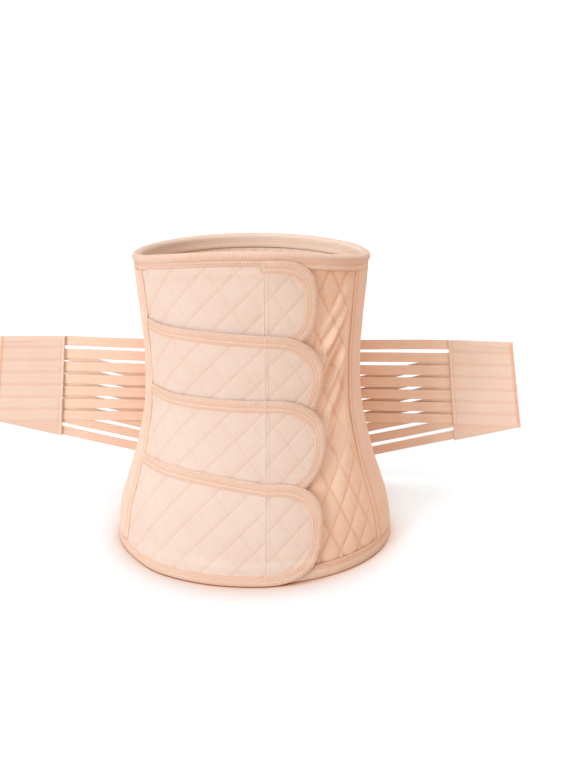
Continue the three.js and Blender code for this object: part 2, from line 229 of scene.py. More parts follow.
at_hip = float(arc(math.asin(SIDE_TAPE_EDGE), 0.0))
print("distance round to the side tape at the hem:", round(at_hip, 4))

# %% [markdown]
# ## Cloth from a grid
# A flat grid is the natural start for cloth: it has even squares, and each square knows where it
# lies. One helper adds the grid with bpy.ops and bends it over the body. A tube or a ring is a
# grid whose edges meet, so they are merged, and an open tube gets end caps. A UV map in metres,
# called cloth, goes along, because weave and ribs must keep their real size on every piece.

# %% Closing the edges of a bent grid
MERGE = 0.02 * MM


def close_edges(tube):
    """Merges the edges that meet, and caps the two ends of a tube."""
    bpy.ops.object.mode_set(mode="EDIT")
    bpy.ops.mesh.select_all(action="SELECT")
    bpy.ops.mesh.remove_doubles(threshold=MERGE)
    if tube:
        bpy.ops.mesh.select_all(action="DESELECT")
        bpy.ops.mesh.select_mode(type="EDGE")
        bpy.ops.mesh.select_non_manifold()
        bpy.ops.mesh.edge_face_add()
        bpy.ops.mesh.select_all(action="SELECT")
    bpy.ops.mesh.normals_make_consistent(inside=False)
    bpy.ops.object.mode_set(mode="OBJECT")


# %% [markdown]
# ### Bending a grid
# A grid could be bent by a lattice or a curve, but each piece here has relief as well, so place is
# a function that gives every point. It gets u and v from 0 to 1 over the flat grid, and gives back
# points, cloth UVs and grooves in one go. Solidify makes the wall where a piece is one layer.

# %% The grid helper
def cloth_grid(name, columns, rows, place, ring=False, tube=False, thickness=0.0, middle=False):
    """A grid of columns by rows, bent by place(u, v).

    place gives the points, their cloth UVs and how deep in a groove each one lies, from 0 to 1,
    which sets painted shade. A groove value below 0 paints a paler tone: painted light on the
    inside and a painted highlight on the ridges of folds.
    """
    bpy.ops.object.select_all(action="DESELECT")
    bpy.ops.mesh.primitive_grid_add(x_subdivisions=columns, y_subdivisions=rows, size=1)
    piece = bpy.context.object
    piece.name = name
    mesh = piece.data
    mesh.name = name
    flat = np.zeros(len(mesh.vertices) * 3)
    mesh.vertices.foreach_get("co", flat)
    u, v = flat.reshape(-1, 3)[:, 0] + 0.5, flat.reshape(-1, 3)[:, 1] + 0.5
    points, cloth, shade = place(u, v)
    mesh.vertices.foreach_set("co", points.astype(np.float32).ravel())
    corner = np.zeros(len(mesh.loops), int)
    mesh.loops.foreach_get("vertex_index", corner)
    layer = mesh.uv_layers[0] if mesh.uv_layers else mesh.uv_layers.new()
    layer.name = "cloth"
    layer.data.foreach_set("uv", cloth[corner].astype(np.float32).ravel())
    # the groove attribute carries painted shade, and below 0 painted light
    groove = mesh.attributes.new("groove", "FLOAT", "POINT")
    groove.data.foreach_set("value", np.broadcast_to(shade, u.shape).astype(np.float32))
    mesh.update()
    if ring or tube:
        close_edges(tube)
    if thickness:
        solid = piece.modifiers.new("thickness", "SOLIDIFY")
        solid.thickness = thickness
        solid.offset = 0 if middle else -1
        bpy.ops.object.modifier_apply(modifier=solid.name)
    bpy.ops.object.shade_smooth()
    return piece


def finish_piece(piece, material, slot, *nodes):
    """Gives a piece its material, its body and the solids that it stands for."""
    piece.data.materials.clear()
    piece.data.materials.append(material)
    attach(piece, "root")
    if nodes:
        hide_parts(*nodes)
    print(piece.name, "has", len(piece.data.polygons), "faces")
    return piece


# %% [markdown]
# ## The finishes
# Cloth looks soft because of three things: a weave that breaks up the light, fibres that catch it
# at grazing angles (sheen), and dye that is never quite even. Each material below has those
# three. The weaves are written as sines of the cloth UV, so that they follow every fold. Image
# textures could do the same, but sines stay sharp at any distance. The first helpers only shorten
# the making of nodes.

# %% A material and a maths node
def new_material(name, color, roughness, sheen):
    material = bpy.data.materials.new(name)
    material.use_nodes = True
    nodes = material.node_tree.nodes
    shader = nodes["Principled BSDF"]
    shader.inputs["Roughness"].default_value = roughness
    shader.inputs["Specular IOR Level"].default_value = 0.25
    shader.inputs["Sheen Weight"].default_value = sheen
    shader.inputs["Sheen Roughness"].default_value = 0.5
    shader.inputs["Sheen Tint"].default_value = (*color, 1)
    material.diffuse_color = (*color, 1)
    return material, nodes, material.node_tree.links, shader


def math_node(nodes, links, operation, *inputs):
    node = nodes.new("ShaderNodeMath")
    node.operation = operation
    for i, value in enumerate(inputs):
        if isinstance(value, (int, float)):
            node.inputs[i].default_value = value
        else:
            links.new(value, node.inputs[i])
    return node.outputs[0]


# %% [markdown]
# ### Waves and noise on the cloth
# Threads repeat at an even pitch, so each thread system is a sine along one axis of the cloth UV.
# Nap and uneven dye don't repeat, so they are noise.

# %% Cloth axes, waves and noise
def cloth_axes(nodes, links):
    """The two axes of the cloth UV, in metres."""
    uv = nodes.new("ShaderNodeUVMap")
    uv.uv_map = "cloth"
    split = nodes.new("ShaderNodeSeparateXYZ")
    links.new(uv.outputs["UV"], split.inputs[0])
    return uv.outputs["UV"], split.outputs["X"], split.outputs["Y"]


def wave(nodes, links, along, pitch):
    """A sine from 0 to 1 that repeats every pitch metres."""
    turns = math_node(nodes, links, "MULTIPLY", along, 2 * math.pi / pitch)
    sine = math_node(nodes, links, "SINE", turns)
    return math_node(nodes, links, "MULTIPLY_ADD", sine, 0.5, 0.5)


def noise(nodes, links, vector, scale, detail):
    node = nodes.new("ShaderNodeTexNoise")
    node.inputs["Scale"].default_value = scale
    node.inputs["Detail"].default_value = detail
    links.new(vector, node.inputs["Vector"])
    return node.outputs["Fac"]


# %% [markdown]
# ### Dye, painted shade and relief
# Light that falls in a groove bounces between warm fibres and comes back more orange. The groove
# attribute of each piece says where that is, and there the colour is mixed towards a deep tone as
# painted shade. Where the attribute is below 0, a paler tone is mixed in as painted light. The
# relief of weave and nap is far finer than the mesh, so it is only a bump.

# %% Dye, painted shade and relief
PAINTED_SHADE = (0.78, 0.38, 0.21)  # painted shade: the tone mixed in where little light gets in
PAINTED_LIGHT = (0.99, 0.86, 0.75)  # painted light: the paler tone of the inside and of the folds' ridges


def color_mix(nodes, links, start, end, factor):
    blend = nodes.new("ShaderNodeMix")
    blend.data_type = "RGBA"
    for name, value in (("A", start), ("B", end)):
        if isinstance(value, tuple):
            blend.inputs[name].default_value = (*value, 1)
        else:
            links.new(value, blend.inputs[name])
    links.new(factor, blend.inputs["Factor"])
    return blend.outputs["Result"]


def dye_and_painted_shade(nodes, links, shader, low, high, factor, lines=None, depth=0.45):
    """Base colour from two tones, painted shade in grooves and sewn lines, painted light at groove
    -1.
    """
    groove = nodes.new("ShaderNodeAttribute")
    groove.attribute_name = "groove"
    color = color_mix(nodes, links, low, high, factor)
    # painted light: a groove value below 0 mixes in the pale tone
    painted_light_share = math_node(nodes, links, "MULTIPLY", groove.outputs["Fac"], -1)
    color = color_mix(nodes, links, color, PAINTED_LIGHT, painted_light_share)
    # painted shade: a groove value above 0 mixes in the deep tone
    deep = math_node(nodes, links, "MULTIPLY", groove.outputs["Fac"], depth)
    color = color_mix(nodes, links, color, PAINTED_SHADE, deep)
    if lines:
        # painted shade along the quilting's stitch lines
        sewn = math_node(nodes, links, "MULTIPLY", lines, 0.25)
        color = color_mix(nodes, links, color, PAINTED_SHADE, sewn)
    links.new(color, shader.inputs["Base Color"])


def bumps(nodes, links, shader, height, distance, strength):
    bump = nodes.new("ShaderNodeBump")
    bump.inputs["Distance"].default_value = distance
    bump.inputs["Strength"].default_value = strength
    links.new(height, bump.inputs["Height"])
    links.new(bump.outputs["Normal"], shader.inputs["Normal"])


# %% [markdown]
# ### Quilting rows
# The wall and the flaps are sewn through in two directions that cross in diamonds. The same rows
# are needed twice, as stitches in the material and as relief in the mesh, so they are kept in one
# table for each cloth: the two slants in degrees, the pitch, the depth, how faint the second rows
# are, and how dark the painted shade in the grooves gets.

# %% Rows and their stitches
WALL_ROWS = dict(up=60, down=60, pitch=21 * MM, depth=1.5 * MM, faint=1.0, dark=0.30)
FLAP_ROWS = dict(up=49, down=60, pitch=20 * MM, depth=0.65 * MM, faint=0.4, dark=0.10)


def sewn_lines(nodes, links, across, up, rows):
    """1 on the stitches of the quilting rows and 0 beside them."""
    total = None
    for degrees, side, weight in ((rows["up"], -1, 1.0), (rows["down"], 1, rows["faint"])):
        a, b = math.sin(math.radians(degrees)), side * math.cos(math.radians(degrees))
        off = math_node(nodes, links, "MULTIPLY", across, a / rows["pitch"])
        off = math_node(nodes, links, "MULTIPLY_ADD", up, b / rows["pitch"], off)
        off = math_node(nodes, links, "PINGPONG", off, 0.5)
        line = math_node(nodes, links, "LESS_THAN", off, 0.32 * MM / rows["pitch"])
        along = math_node(nodes, links, "MULTIPLY", across, -b)
        along = math_node(nodes, links, "MULTIPLY_ADD", up, a, along)
        dash = math_node(nodes, links, "GREATER_THAN", wave(nodes, links, along, 3.4 * MM), 0.22)
        line = math_node(nodes, links, "MULTIPLY", line, dash)
        line = math_node(nodes, links, "MULTIPLY", line, weight)
        total = line if total is None else math_node(nodes, links, "MAXIMUM", total, line)
    return total


# %% [markdown]
# ### Brushed cotton
# The quilted pieces and the tabs are brushed cotton. The weave is a product of two sines, warp and
# weft. The nap on top is fine noise, and a broader noise gives the soft creases of cloth that has
# been folded.

# %% Brushed cotton
def cotton(name, low, high, rows=None):
    """Brushed cotton: a fine plain weave under a soft nap, sewn in rows where it is quilted."""
    material, nodes, links, shader = new_material(name, high, 0.9, 0.25)
    uv, across, up = cloth_axes(nodes, links)
    warp = wave(nodes, links, across, 1.1 * MM)
    weft = wave(nodes, links, up, 1.1 * MM)
    weave = math_node(nodes, links, "MULTIPLY", warp, weft)
    nap = noise(nodes, links, uv, 900, 3)
    cloud = noise(nodes, links, uv, 22, 4)
    tone = math_node(nodes, links, "MULTIPLY_ADD", nap, 0.45, cloud)
    tone = math_node(nodes, links, "MULTIPLY_ADD", weave, 0.18, tone)
    tone = math_node(nodes, links, "SUBTRACT", tone, 0.3)
    height = math_node(nodes, links, "MULTIPLY_ADD", nap, 0.8, weave)
    creases = noise(nodes, links, uv, 210, 2)
    height = math_node(nodes, links, "MULTIPLY_ADD", creases, 4.0, height)
    lines = sewn_lines(nodes, links, across, up, rows) if rows else None
    if rows:
        height = math_node(nodes, links, "MULTIPLY_ADD", lines, 2.5, height)
    # painted shade in the quilting's grooves and stitch lines, as dark as the rows' dark value
    dye_and_painted_shade(nodes, links, shader, low, high, tone, lines, rows["dark"] if rows else 0.3)
    bumps(nodes, links, shader, height, 0.16 * MM, 0.6)
    return material


# %% [markdown]
# ### Twill and herringbone tape
# Twill shows as fine slanting ribs. Where the slant turns back at an even distance it is a
# herringbone. One function makes both: a ping-pong along the tape turns the slant.

# %% Woven tape
def twill(name, low, high, pitch, chevron=0.0):
    """Woven tape: fine diagonal ribs, turned into a herringbone where chevron is a width."""
    material, nodes, links, shader = new_material(name, high, 0.86, 0.2)
    uv, along, across = cloth_axes(nodes, links)
    slope = math_node(nodes, links, "PINGPONG", along, chevron) if chevron else along
    slanted = math_node(nodes, links, "ADD", across, slope)
    ribs = wave(nodes, links, slanted, pitch)
    nap = noise(nodes, links, uv, 1400, 2)
    cloud = noise(nodes, links, uv, 30, 3)
    tone = math_node(nodes, links, "MULTIPLY_ADD", ribs, 0.4, cloud)
    tone = math_node(nodes, links, "MULTIPLY_ADD", nap, 0.25, tone)
    tone = math_node(nodes, links, "SUBTRACT", tone, 0.35)
    dye_and_painted_shade(nodes, links, shader, low, high, tone, depth=0.6)
    height = math_node(nodes, links, "MULTIPLY_ADD", nap, 0.4, ribs)
    bumps(nodes, links, shader, height, 0.22 * MM, 0.6)
    return material


# %% [markdown]
# ### Elastic and thread
# Elastic webbing has cords of rubber along it, so its ribs run lengthways, and a fine thread binds
# them. It is smoother than cotton, and so it shines a little more. The sewing thread lies in all
# directions, so its tone comes from Object coordinates and not from the cloth UV.

# %% Elastic and thread
def ribbed_elastic(name, low, high):
    """Elastic webbing: cords of rubber along it, bound by a fine crosswise thread."""
    material, nodes, links, shader = new_material(name, high, 0.62, 0.15)
    uv, along, across = cloth_axes(nodes, links)
    cords = wave(nodes, links, across, 1.5 * MM)
    binder_thread = wave(nodes, links, along, 0.9 * MM)
    cloud = noise(nodes, links, uv, 40, 3)
    tone = math_node(nodes, links, "MULTIPLY_ADD", cords, 0.35, cloud)
    tone = math_node(nodes, links, "SUBTRACT", tone, 0.15)
    dye_and_painted_shade(nodes, links, shader, low, high, tone, depth=0.8)
    height = math_node(nodes, links, "MULTIPLY_ADD", binder_thread, 0.35, cords)
    bumps(nodes, links, shader, height, 0.25 * MM, 0.55)
    return material


def thread(name, low, high):
    """Sewing thread: two plies, with a little shine."""
    material, nodes, links, shader = new_material(name, high, 0.55, 0.3)
    coords = nodes.new("ShaderNodeTexCoord").outputs["Object"]
    tone = noise(nodes, links, coords, 300, 2)
    dye_and_painted_shade(nodes, links, shader, low, high, tone)
    plies = noise(nodes, links, coords, 2500, 1)
    bumps(nodes, links, shader, plies, 0.1 * MM, 0.4)
    return material


# %% [markdown]
# ### The palette
# All the cloths are one warm beige, but no two are dyed quite the same: the flaps are palest, the
# wall's cotton is the warmest, which is painted shade for the side that turns from the light. Each
# material gets the darker and the lighter end of its dye.

# %% The palette
# painted shade: warmer, deeper tones than the flaps', for the wall's side turned from the light
WALL_COTTON = cotton("quilted wall cotton", (0.86, 0.62, 0.49), (0.92, 0.72, 0.605), WALL_ROWS)
FLAP_COTTON = cotton("quilted flap cotton", (0.78, 0.67, 0.62), (0.84, 0.78, 0.75), FLAP_ROWS)
TWILL = twill("twill tape", (0.84, 0.67, 0.57), (0.91, 0.83, 0.78), 0.8 * MM)
HERRINGBONE = twill("herringbone tape", (0.84, 0.65, 0.55), (0.93, 0.81, 0.75), 1.8 * MM, 6 * MM)
ELASTIC = ribbed_elastic("ribbed elastic", (0.92, 0.68, 0.54), (0.97, 0.84, 0.75))
TAB_CLOTH = cotton("tab cloth", (0.84, 0.69, 0.61), (0.90, 0.81, 0.76))
THREAD = thread("sewing thread", (0.84, 0.58, 0.45), (0.93, 0.72, 0.60))
print("materials:", [m.name for m in bpy.data.materials])

# %% [markdown]
# ## Quilting
# Quilting holds a thin layer of wadding between two cloths with crossing rows of stitches. The
# rows pull the cloth down, and the wadding swells between them. A cloth simulation would need the
# wadding's pressure in each small diamond, so this is done instead: the distance to the
# nearest row gives the depth of the groove, and a dome fills the diamond. The puffs reach the
# surface of the solids and the grooves go in, so nothing grows past its place.

# %% Quilting relief
GROOVE_WIDTH = 1.3 * MM


def row_distances(rows, s, z):
    """Distance to the nearest row of each of the two directions."""
    up, down = math.radians(rows["up"]), math.radians(rows["down"])
    first = s * math.sin(up) - z * math.cos(up)
    second = s * math.sin(down) + z * math.cos(down)
    pitch = rows["pitch"]
    return [np.abs((p / pitch + 0.5) % 1 - 0.5) * pitch for p in (first, second)]


def quilt(rows, s, z):
    """How far the quilting pulls the cloth in, and how deep in a groove that is, from 0 to 1."""
    first, second = row_distances(rows, s, z)
    reach = rows["pitch"] / 2
    dome = np.sin(np.pi / 2 * first / reach) ** 0.7 * np.sin(np.pi / 2 * second / reach) ** 0.7
    groove = np.maximum(bell(first, GROOVE_WIDTH), rows["faint"] * bell(second, GROOVE_WIDTH))
    return rows["depth"] * (0.6 * (1 - dome) + 0.4 * groove), groove


print("rows of quilting across the front:", int(HIP_WIDTH / WALL_ROWS["pitch"]))


# %% [markdown]
# ## The wall
# The wall is one ring: its outer face, its top edge, its inner face and its foot make a closed
# loop in section. More columns go to the bare side and the back than to the front, which the
# flaps hide. The quilting goes flat under the side tapes. Painted shade darkens the grooves of
# the quilting and the hollows of the folds, the ridges of the folds get a painted highlight, and
# the inner face is painted paler, as painted light.

# %% The quilted wall
WALL = 3 * MM
TAPE = 1.2 * MM
GAP = 0.3 * MM
COLUMN_SHARES, COLUMN_TURNS = [0, 0.12, 0.2, 0.68, 1], np.radians([-62, 20, 34, 180, 298])
OUTER_SHARE = 0.8  # the share of the section's rows that the outer face gets
SECTION_SHARES = [0, OUTER_SHARE, 0.81, 0.99, 1]
SECTION_LIFTS, SECTION_HEIGHTS = [0, 0, -WALL, -WALL, 0], [0, 1, 1, 0, 0]
FLAT_BEFORE = 0.06  # the quilting goes flat over this part of the sine before a side tape
BEHIND_TAPE = np.radians([93, 98])  # the turns over which it begins again behind the tape
FOLD_LIGHT_RISE = 1.3 * MM  # a fold this high gets the full painted highlight on its ridge, or painted shade in its hollow
INSIDE_SHADE = -0.9  # painted light: the inside is painted almost as pale as the pale tone


def wall_place(u, v):
    """u runs round the body, from the left over front and back, and v round the section."""
    turn = np.interp(u, COLUMN_SHARES, COLUMN_TURNS)
    folded = np.where(turn > np.pi, turn - 2 * np.pi, turn)
    lift = np.interp(v, SECTION_SHARES, SECTION_LIFTS)
    foot = TAPE + GAP
    top = rim_height(folded) - foot
    z = mix(foot, top, np.interp(v, SECTION_SHARES, SECTION_HEIGHTS))
    s = arc(folded, z)
    outside = v <= OUTER_SHARE
    pull, groove = quilt(WALL_ROWS, np.abs(s), z)
    before_tape = rise(np.abs(np.sin(folded)), SIDE_TAPE_EDGE - FLAT_BEFORE, SIDE_TAPE_EDGE)
    behind_tape = rise(np.abs(folded), *BEHIND_TAPE)
    held = 1 - before_tape * (1 - behind_tape)
    lift = np.where(outside, lift - pull * held, lift + pull * 0.3)
    share = z / rim_height(folded)
    drape = drape_rise(folded, share)
    # painted highlight on the folds' ridges and painted shade in their hollows
    fold_light = (fold_sum(FOLDS, folded, share) + drape) / FOLD_LIGHT_RISE
    # painted shade in the quilting's grooves, except where the quilting goes flat
    outer_shade = np.clip(groove * held - fold_light, -0.3, 1)
    # painted light on the inner face, with a little painted shade in its grooves
    shade = np.where(outside, outer_shade, INSIDE_SHADE + 0.5 * groove)
    return on_body(folded, z, lift + drape), np.stack([np.abs(s), z], -1), shade


wall = cloth_grid("quilted_wall", 430, 190, wall_place, ring=True)
finish_piece(wall, WALL_COTTON, "quilted_cotton", "body_wall")

# %% [markdown]
# ## Bindings
# A binding is a folded tape that keeps a cut edge from fraying. Its section is drawn once as a
# loop of points and carried round the edge, as a curve's bevel would do, but with the ribs in the
# same step. The full roll has diagonal ribs that are wide enough to be real shape, and the flat
# part beside it has two sewn grooves.

# %% The section of a tape
RIB_PITCH = 2.4 * MM
RIB_HEIGHT = 0.36 * MM


def rib_shade(wave_height, ribs, bare):
    """Painted shade between the ribs, and in the sewn grooves, where the tape has no ribs."""
    return np.clip(ribs * (0.5 - 0.5 * wave_height) * 0.7 + bare, 0, 1)


def loop_section(points):
    """Even steps round a closed outline of (lift, drop, ribs) points."""
    loop = np.array([*points, points[0]], float)
    steps = np.hypot(*np.diff(loop[:, :2], axis=0).T)
    along = np.concatenate([[0], np.cumsum(steps)])
    return lambda v: [np.interp(v * along[-1], along, loop[:, i]) for i in range(3)], along[-1]


def sized(section, v):
    """The first two columns of a section in metres, and its ribs as they are."""
    first, second, ribs = section(v)
    return first * MM, second * MM, ribs


# %% [markdown]
# ### The rim's tape
# The rim's roll stands up above the wall and hangs over both its faces. Its section is given as
# lift off the wall and drop below the rim, both in millimetres, and the share of ribs. Inside, the
# tape is painted paler, as painted light.

# %% The rim's tape
RIM_SECTION, RIM_LOOP = loop_section([
    (0.3, 15, 0), (0.3, 2.2, 0), (-1.5, 1.6, 0), (-3.3, 2.2, 0), (-3.3, 15, 0), (-4.3, 15.2, 0),
    (-4.7, 13.5, 0), (-4.3, 12.2, 0), (-4.8, 10, 0.4), (-4.4, 8, 0.2), (-5.0, 6, 1), (-5.0, 3.2, 1),
    (-4.0, 1.2, 1), (-2.3, 0.3, 1), (0.2, 0.2, 1), (2.0, 0.9, 1), (3.2, 2.4, 1), (3.6, 4.4, 1),
    (3.2, 6.4, 1), (2.2, 7.6, 0.2), (2.0, 8.4, 0), (2.5, 9.6, 0.5), (2.3, 11, 0.3), (1.8, 11.7, 0),
    (2.3, 12.7, 0.3), (2.1, 14.3, 0.2), (1.5, 15.2, 0),
])
INSIDE_LIFT = -4.2 * MM


def rim_place(u, v):
    turn = mix(-np.pi, np.pi, u)
    lift, drop, ribs = sized(RIM_SECTION, v)
    z = rim_height(turn) - drop
    s = arc(turn, rim_height(turn))
    rib = np.sin(2 * np.pi * (s + drop * 0.9 + lift * 0.6) / RIB_PITCH)
    points = on_body(turn, z, lift + ribs * RIB_HEIGHT * rib)
    # painted shade in the sewn grooves and between the ribs
    bare = 0.8 * (ribs < 0.25) * (lift > 0)
    # painted light: the inside of the tape is painted paler
    shade = np.where(lift < INSIDE_LIFT, -0.8, rib_shade(rib, ribs, bare))
    return points, np.stack([s, v * RIM_LOOP * MM], -1), shade


rim = cloth_grid("rim_tape", 1100, 34, rim_place, ring=True)
finish_piece(rim, TWILL, "twill_tape", "rim_binding")

# %% [markdown]
# ### The hem's tape
# The hem is what the binder stands on, so its roll is low and flat below. Its section is given as
# lift off the wall and height above the floor.

# %% The hem's tape
HEM_SECTION, HEM_LOOP = loop_section([
    (0.3, 15, 0), (0.3, 1.8, 0), (-3.3, 1.8, 0), (-3.3, 15, 0), (-4.4, 14.8, 0), (-4.6, 8, 0.3),
    (-4.7, 1.4, 0.6), (-4.0, 0.0, 0), (1.2, 0.0, 0), (2.2, 1.2, 1), (2.4, 3.6, 1), (2.2, 6.2, 1),
    (1.6, 7.4, 0.2), (2.1, 8.6, 0.5), (1.9, 10.2, 0.3), (1.5, 11, 0), (2.0, 12.2, 0.3),
    (1.8, 14.2, 0.2), (1.2, 15.1, 0),
])


def hem_place(u, v):
    turn = mix(-np.pi, np.pi, u)
    lift, z, ribs = sized(HEM_SECTION, v)
    s = arc(turn, 0 * turn)
    rib = np.sin(2 * np.pi * (s - z * 0.9 + lift * 0.6) / RIB_PITCH)
    points = on_body(turn, z, lift + ribs * RIB_HEIGHT * rib)
    # painted shade in the hem tape's sewn grooves and between its ribs
    bare = 0.8 * (ribs < 0.25) * (lift > 0)
    return points, np.stack([s, v * HEM_LOOP * MM], -1), rib_shade(rib, ribs, bare)


hem = cloth_grid("hem_tape", 1300, 24, hem_place, ring=True)
finish_piece(hem, TWILL, "twill_tape", "hem_binding")

# %% [markdown]
# ## The flaps
# Each flap is a quilted panel, a rounded end section sewn to it at a vertical seam, and a tape
# that runs round both. A table holds each flap's edges: its top at the left, in the middle and at
# the seam, and its foot, as shares of the height, and its reach as a share of the waist.

# %% The flaps' sizes
BAND_HEIGHT = 15 * MM
ROLL_HEIGHT = 7.5 * MM
FLAP = 2.4 * MM
FLAP_BINDING = 11 * MM
FLAP_BINDING_THICKNESS = 3 * MM
SEAM_X = 14.5 * MM
FLAPS = [
    dict(left=1.0, middle=1.0, seam=1.0, foot=0.712, reach=0.58, square=3),
    dict(left=0.806, middle=0.78, seam=0.76, foot=0.45, reach=0.625, square=2.3),
    dict(left=0.59, middle=0.575, seam=0.565, foot=0.258, reach=0.652, square=2.3),
    dict(left=0.352, middle=0.35, seam=0.316, foot=0.0, reach=0.638, square=2.6),
]
UNDER_TAPE = 5 * MM  # how far a flap goes on below the side tape
LEFT_TURN = -math.asin(SIDE_TAPE_EDGE) - UNDER_TAPE / (WAIST_WIDTH / 2)

front = float(rim_height(turn_at(SEAM_X, BODY_HEIGHT)))
ceiling = BODY_HEIGHT + FRONT_RISE - ROLL_HEIGHT - GAP
for flap in FLAPS:
    flap["seam_top"] = min(flap["seam"] * front, ceiling)
    flap["foot_z"] = flap["foot"] * front
    flap["centre"] = (flap["seam_top"] + flap["foot_z"]) / 2
    flap["half"] = (flap["seam_top"] - flap["foot_z"]) / 2
    flap["length"] = flap["reach"] * WAIST_WIDTH / 2 - SEAM_X
    flap["top_width"] = FLAP_BINDING
FLAPS[0]["top_width"] = 5 * MM  # the rim's own band lies close above, so this tape is narrow
print("flap heights:", [round(flap["half"] * 2, 3) for flap in FLAPS])

# %% [markdown]
# ### Where a flap lies
# Each flap rides over the foot of the one above, over the rim's band and over the hem's, so its
# lift is a function of its height, and all three of its pieces ask the same function. At the left
# the side tape is sewn over the stack and presses it flat.

# %% The flaps' edges and lift
SEAT = 0.8 * MM
STEP_START = 64 * MM
STEP_END = 4 * MM
SEWN_FLAT = 0.4  # the share of its fullness that a flap keeps below the side tape
FULL_TURN = math.radians(-38)  # from here on a flap has its whole fullness


def top_edge(flap, share, turn):
    a, b, c = flap["left"], flap["middle"], flap["seam"]
    height = a + share * (4 * b - 3 * a - c) + share**2 * (2 * a + 2 * c - 4 * b)
    roof = rim_height(turn) - ROLL_HEIGHT - GAP
    return np.minimum(height * rim_height(turn), roof)


def flap_lift(number, turn, z):
    """How far the inner face of flap number lies off the wall."""
    band = BAND_HEIGHT + 3 * MM
    rim_z = rim_height(turn)
    over_rim = rise(z, rim_z - band - 8 * MM, rim_z - band)
    over_hem = 1 - rise(z, band, band + 8 * MM)
    over_flap = 0
    if number:
        above = FLAPS[number - 1]["foot_z"]
        over_flap = rise(z, above - STEP_START, above - STEP_END)
    over_band = np.maximum(over_rim, over_hem) * (TAPE + GAP)
    return SEAT + over_band + over_flap * (FLAP_BINDING_THICKNESS + SEAT)


def end_point(flap, angle, inset):
    power = 2 / flap["square"]
    out = np.maximum(0, np.cos(angle)) ** power
    up = np.sign(angle) * np.abs(np.sin(angle)) ** power
    return SEAM_X + (flap["length"] - inset) * out, flap["centre"] + (flap["half"] - inset) * up


def slack(s, z):
    """Small waves that cloth keeps after it has been folded in a packet."""
    waves = np.sin(s * 61 + z * 23) * np.sin(z * 47 - s * 19) + 0.5 * np.sin(s * 131 - z * 87)
    return 0.22 * MM * waves


def pressed(turn):
    """The share of its fullness that a flap keeps towards the side tape, which is sewn over it."""
    return mix(SEWN_FLAT, 1, rise(turn, LEFT_TURN + math.radians(4), FULL_TURN))


def flap_points(number, turn, z, lift):
    total = (flap_lift(number, turn, z) + lift) * pressed(turn)
    return on_body(turn, z, total + slack(arc(turn, z), z))


# %% [markdown]
# ### Panels and ends
# A panel is a grid between the flap's top and foot, and an end is a grid whose top and foot follow
# a rounded outline, squarer than an ellipse. Both get their thickness from Solidify. They meet at
# the vertical seam, where both stand up in one fine ridge.

# %% Panels and ends
EDGE_TUCK = 0.9 * MM  # how far quilted cloth goes in below its binding
SEAM_WIDTH = 1.1 * MM
SEAM_RIDGE = 0.35 * MM
QUILT_THICKNESS = 1.4 * MM
ROW_SHIFT = 7 * MM  # the end is cut from another piece, so its rows don't line up with the panel's
SEAM_COLUMN = 0.01  # the share of an end's columns that stays at the seam
TIP_SHARE = 0.98  # an end stops just short of its tip, where it would have no height


def panel_place(number):
    flap = FLAPS[number]
    inset = FLAP_BINDING - EDGE_TUCK
    top_inset = flap["top_width"] - EDGE_TUCK

    def place(u, v):
        right = turn_at(SEAM_X, flap["centre"])
        rough = mix(LEFT_TURN, right, u)
        z = mix(flap["foot_z"] + inset, top_edge(flap, u, rough) - top_inset, v)
        turn = mix(LEFT_TURN, turn_at(SEAM_X, z), u)
        s = arc(turn, z)
        seam = bell(s - arc(turn_at(SEAM_X, z), z), SEAM_WIDTH)
        pull, groove = quilt(FLAP_ROWS, s, z)
        points = flap_points(number, turn, z, FLAP - pull * (1 - seam) + SEAM_RIDGE * seam)
        # painted shade in the quilting's grooves, none on the seam's ridge
        return points, np.stack([s, z], -1), groove * (1 - seam)

    return place


def end_place(number):
    flap = FLAPS[number]
    inset = FLAP_BINDING - EDGE_TUCK

    def place(u, v):
        angle = (1 - np.maximum(u - SEAM_COLUMN, 0) * TIP_SHARE) * math.pi / 2
        x, high = end_point(flap, angle, inset)
        _, low = end_point(flap, -angle, inset)
        z = mix(low, high, v)
        turn = turn_at(x, z)
        s = arc(turn, z) + ROW_SHIFT
        seam = bell(x - SEAM_X, SEAM_WIDTH)
        groove_line = bell(x - SEAM_X - 3 * MM, 0.9 * MM)
        pull, groove = quilt(FLAP_ROWS, s, z)
        lift = FLAP - pull * (1 - seam) + SEAM_RIDGE * seam - 0.3 * MM * groove_line
        points = flap_points(number, turn, z, lift)
        # painted shade in the quilting's grooves and in the sewn line beside the seam
        return points, np.stack([s, z], -1), np.maximum(groove * (1 - seam), 0.6 * groove_line)

    return place


for number in range(len(FLAPS)):
    tall = int(round(FLAPS[number]["half"] * 2 / (1.6 * MM)))
    panel = cloth_grid(
        f"flap_{number + 1}_quilted_panel", 110, tall, panel_place(number),
        thickness=QUILT_THICKNESS,
    )
    finish_piece(panel, FLAP_COTTON, "quilted_cotton", f"flap_{number + 1}_panel")
    end = cloth_grid(
        f"flap_{number + 1}_quilted_end", 44, tall, end_place(number),
        thickness=QUILT_THICKNESS,
    )
    finish_piece(end, FLAP_COTTON, "quilted_cotton", f"flap_{number + 1}_end")

# %% [markdown]
# ### The flaps' tape
# The flap's tape has the same build as the hem's: a rounded, ribbed edge and a flat inner part
# with two rows of stitches. It is a tube along a path, and the path is worked out at the outer and
# at the inner edge, so the tape narrows and widens round the curve just as a bias tape does.

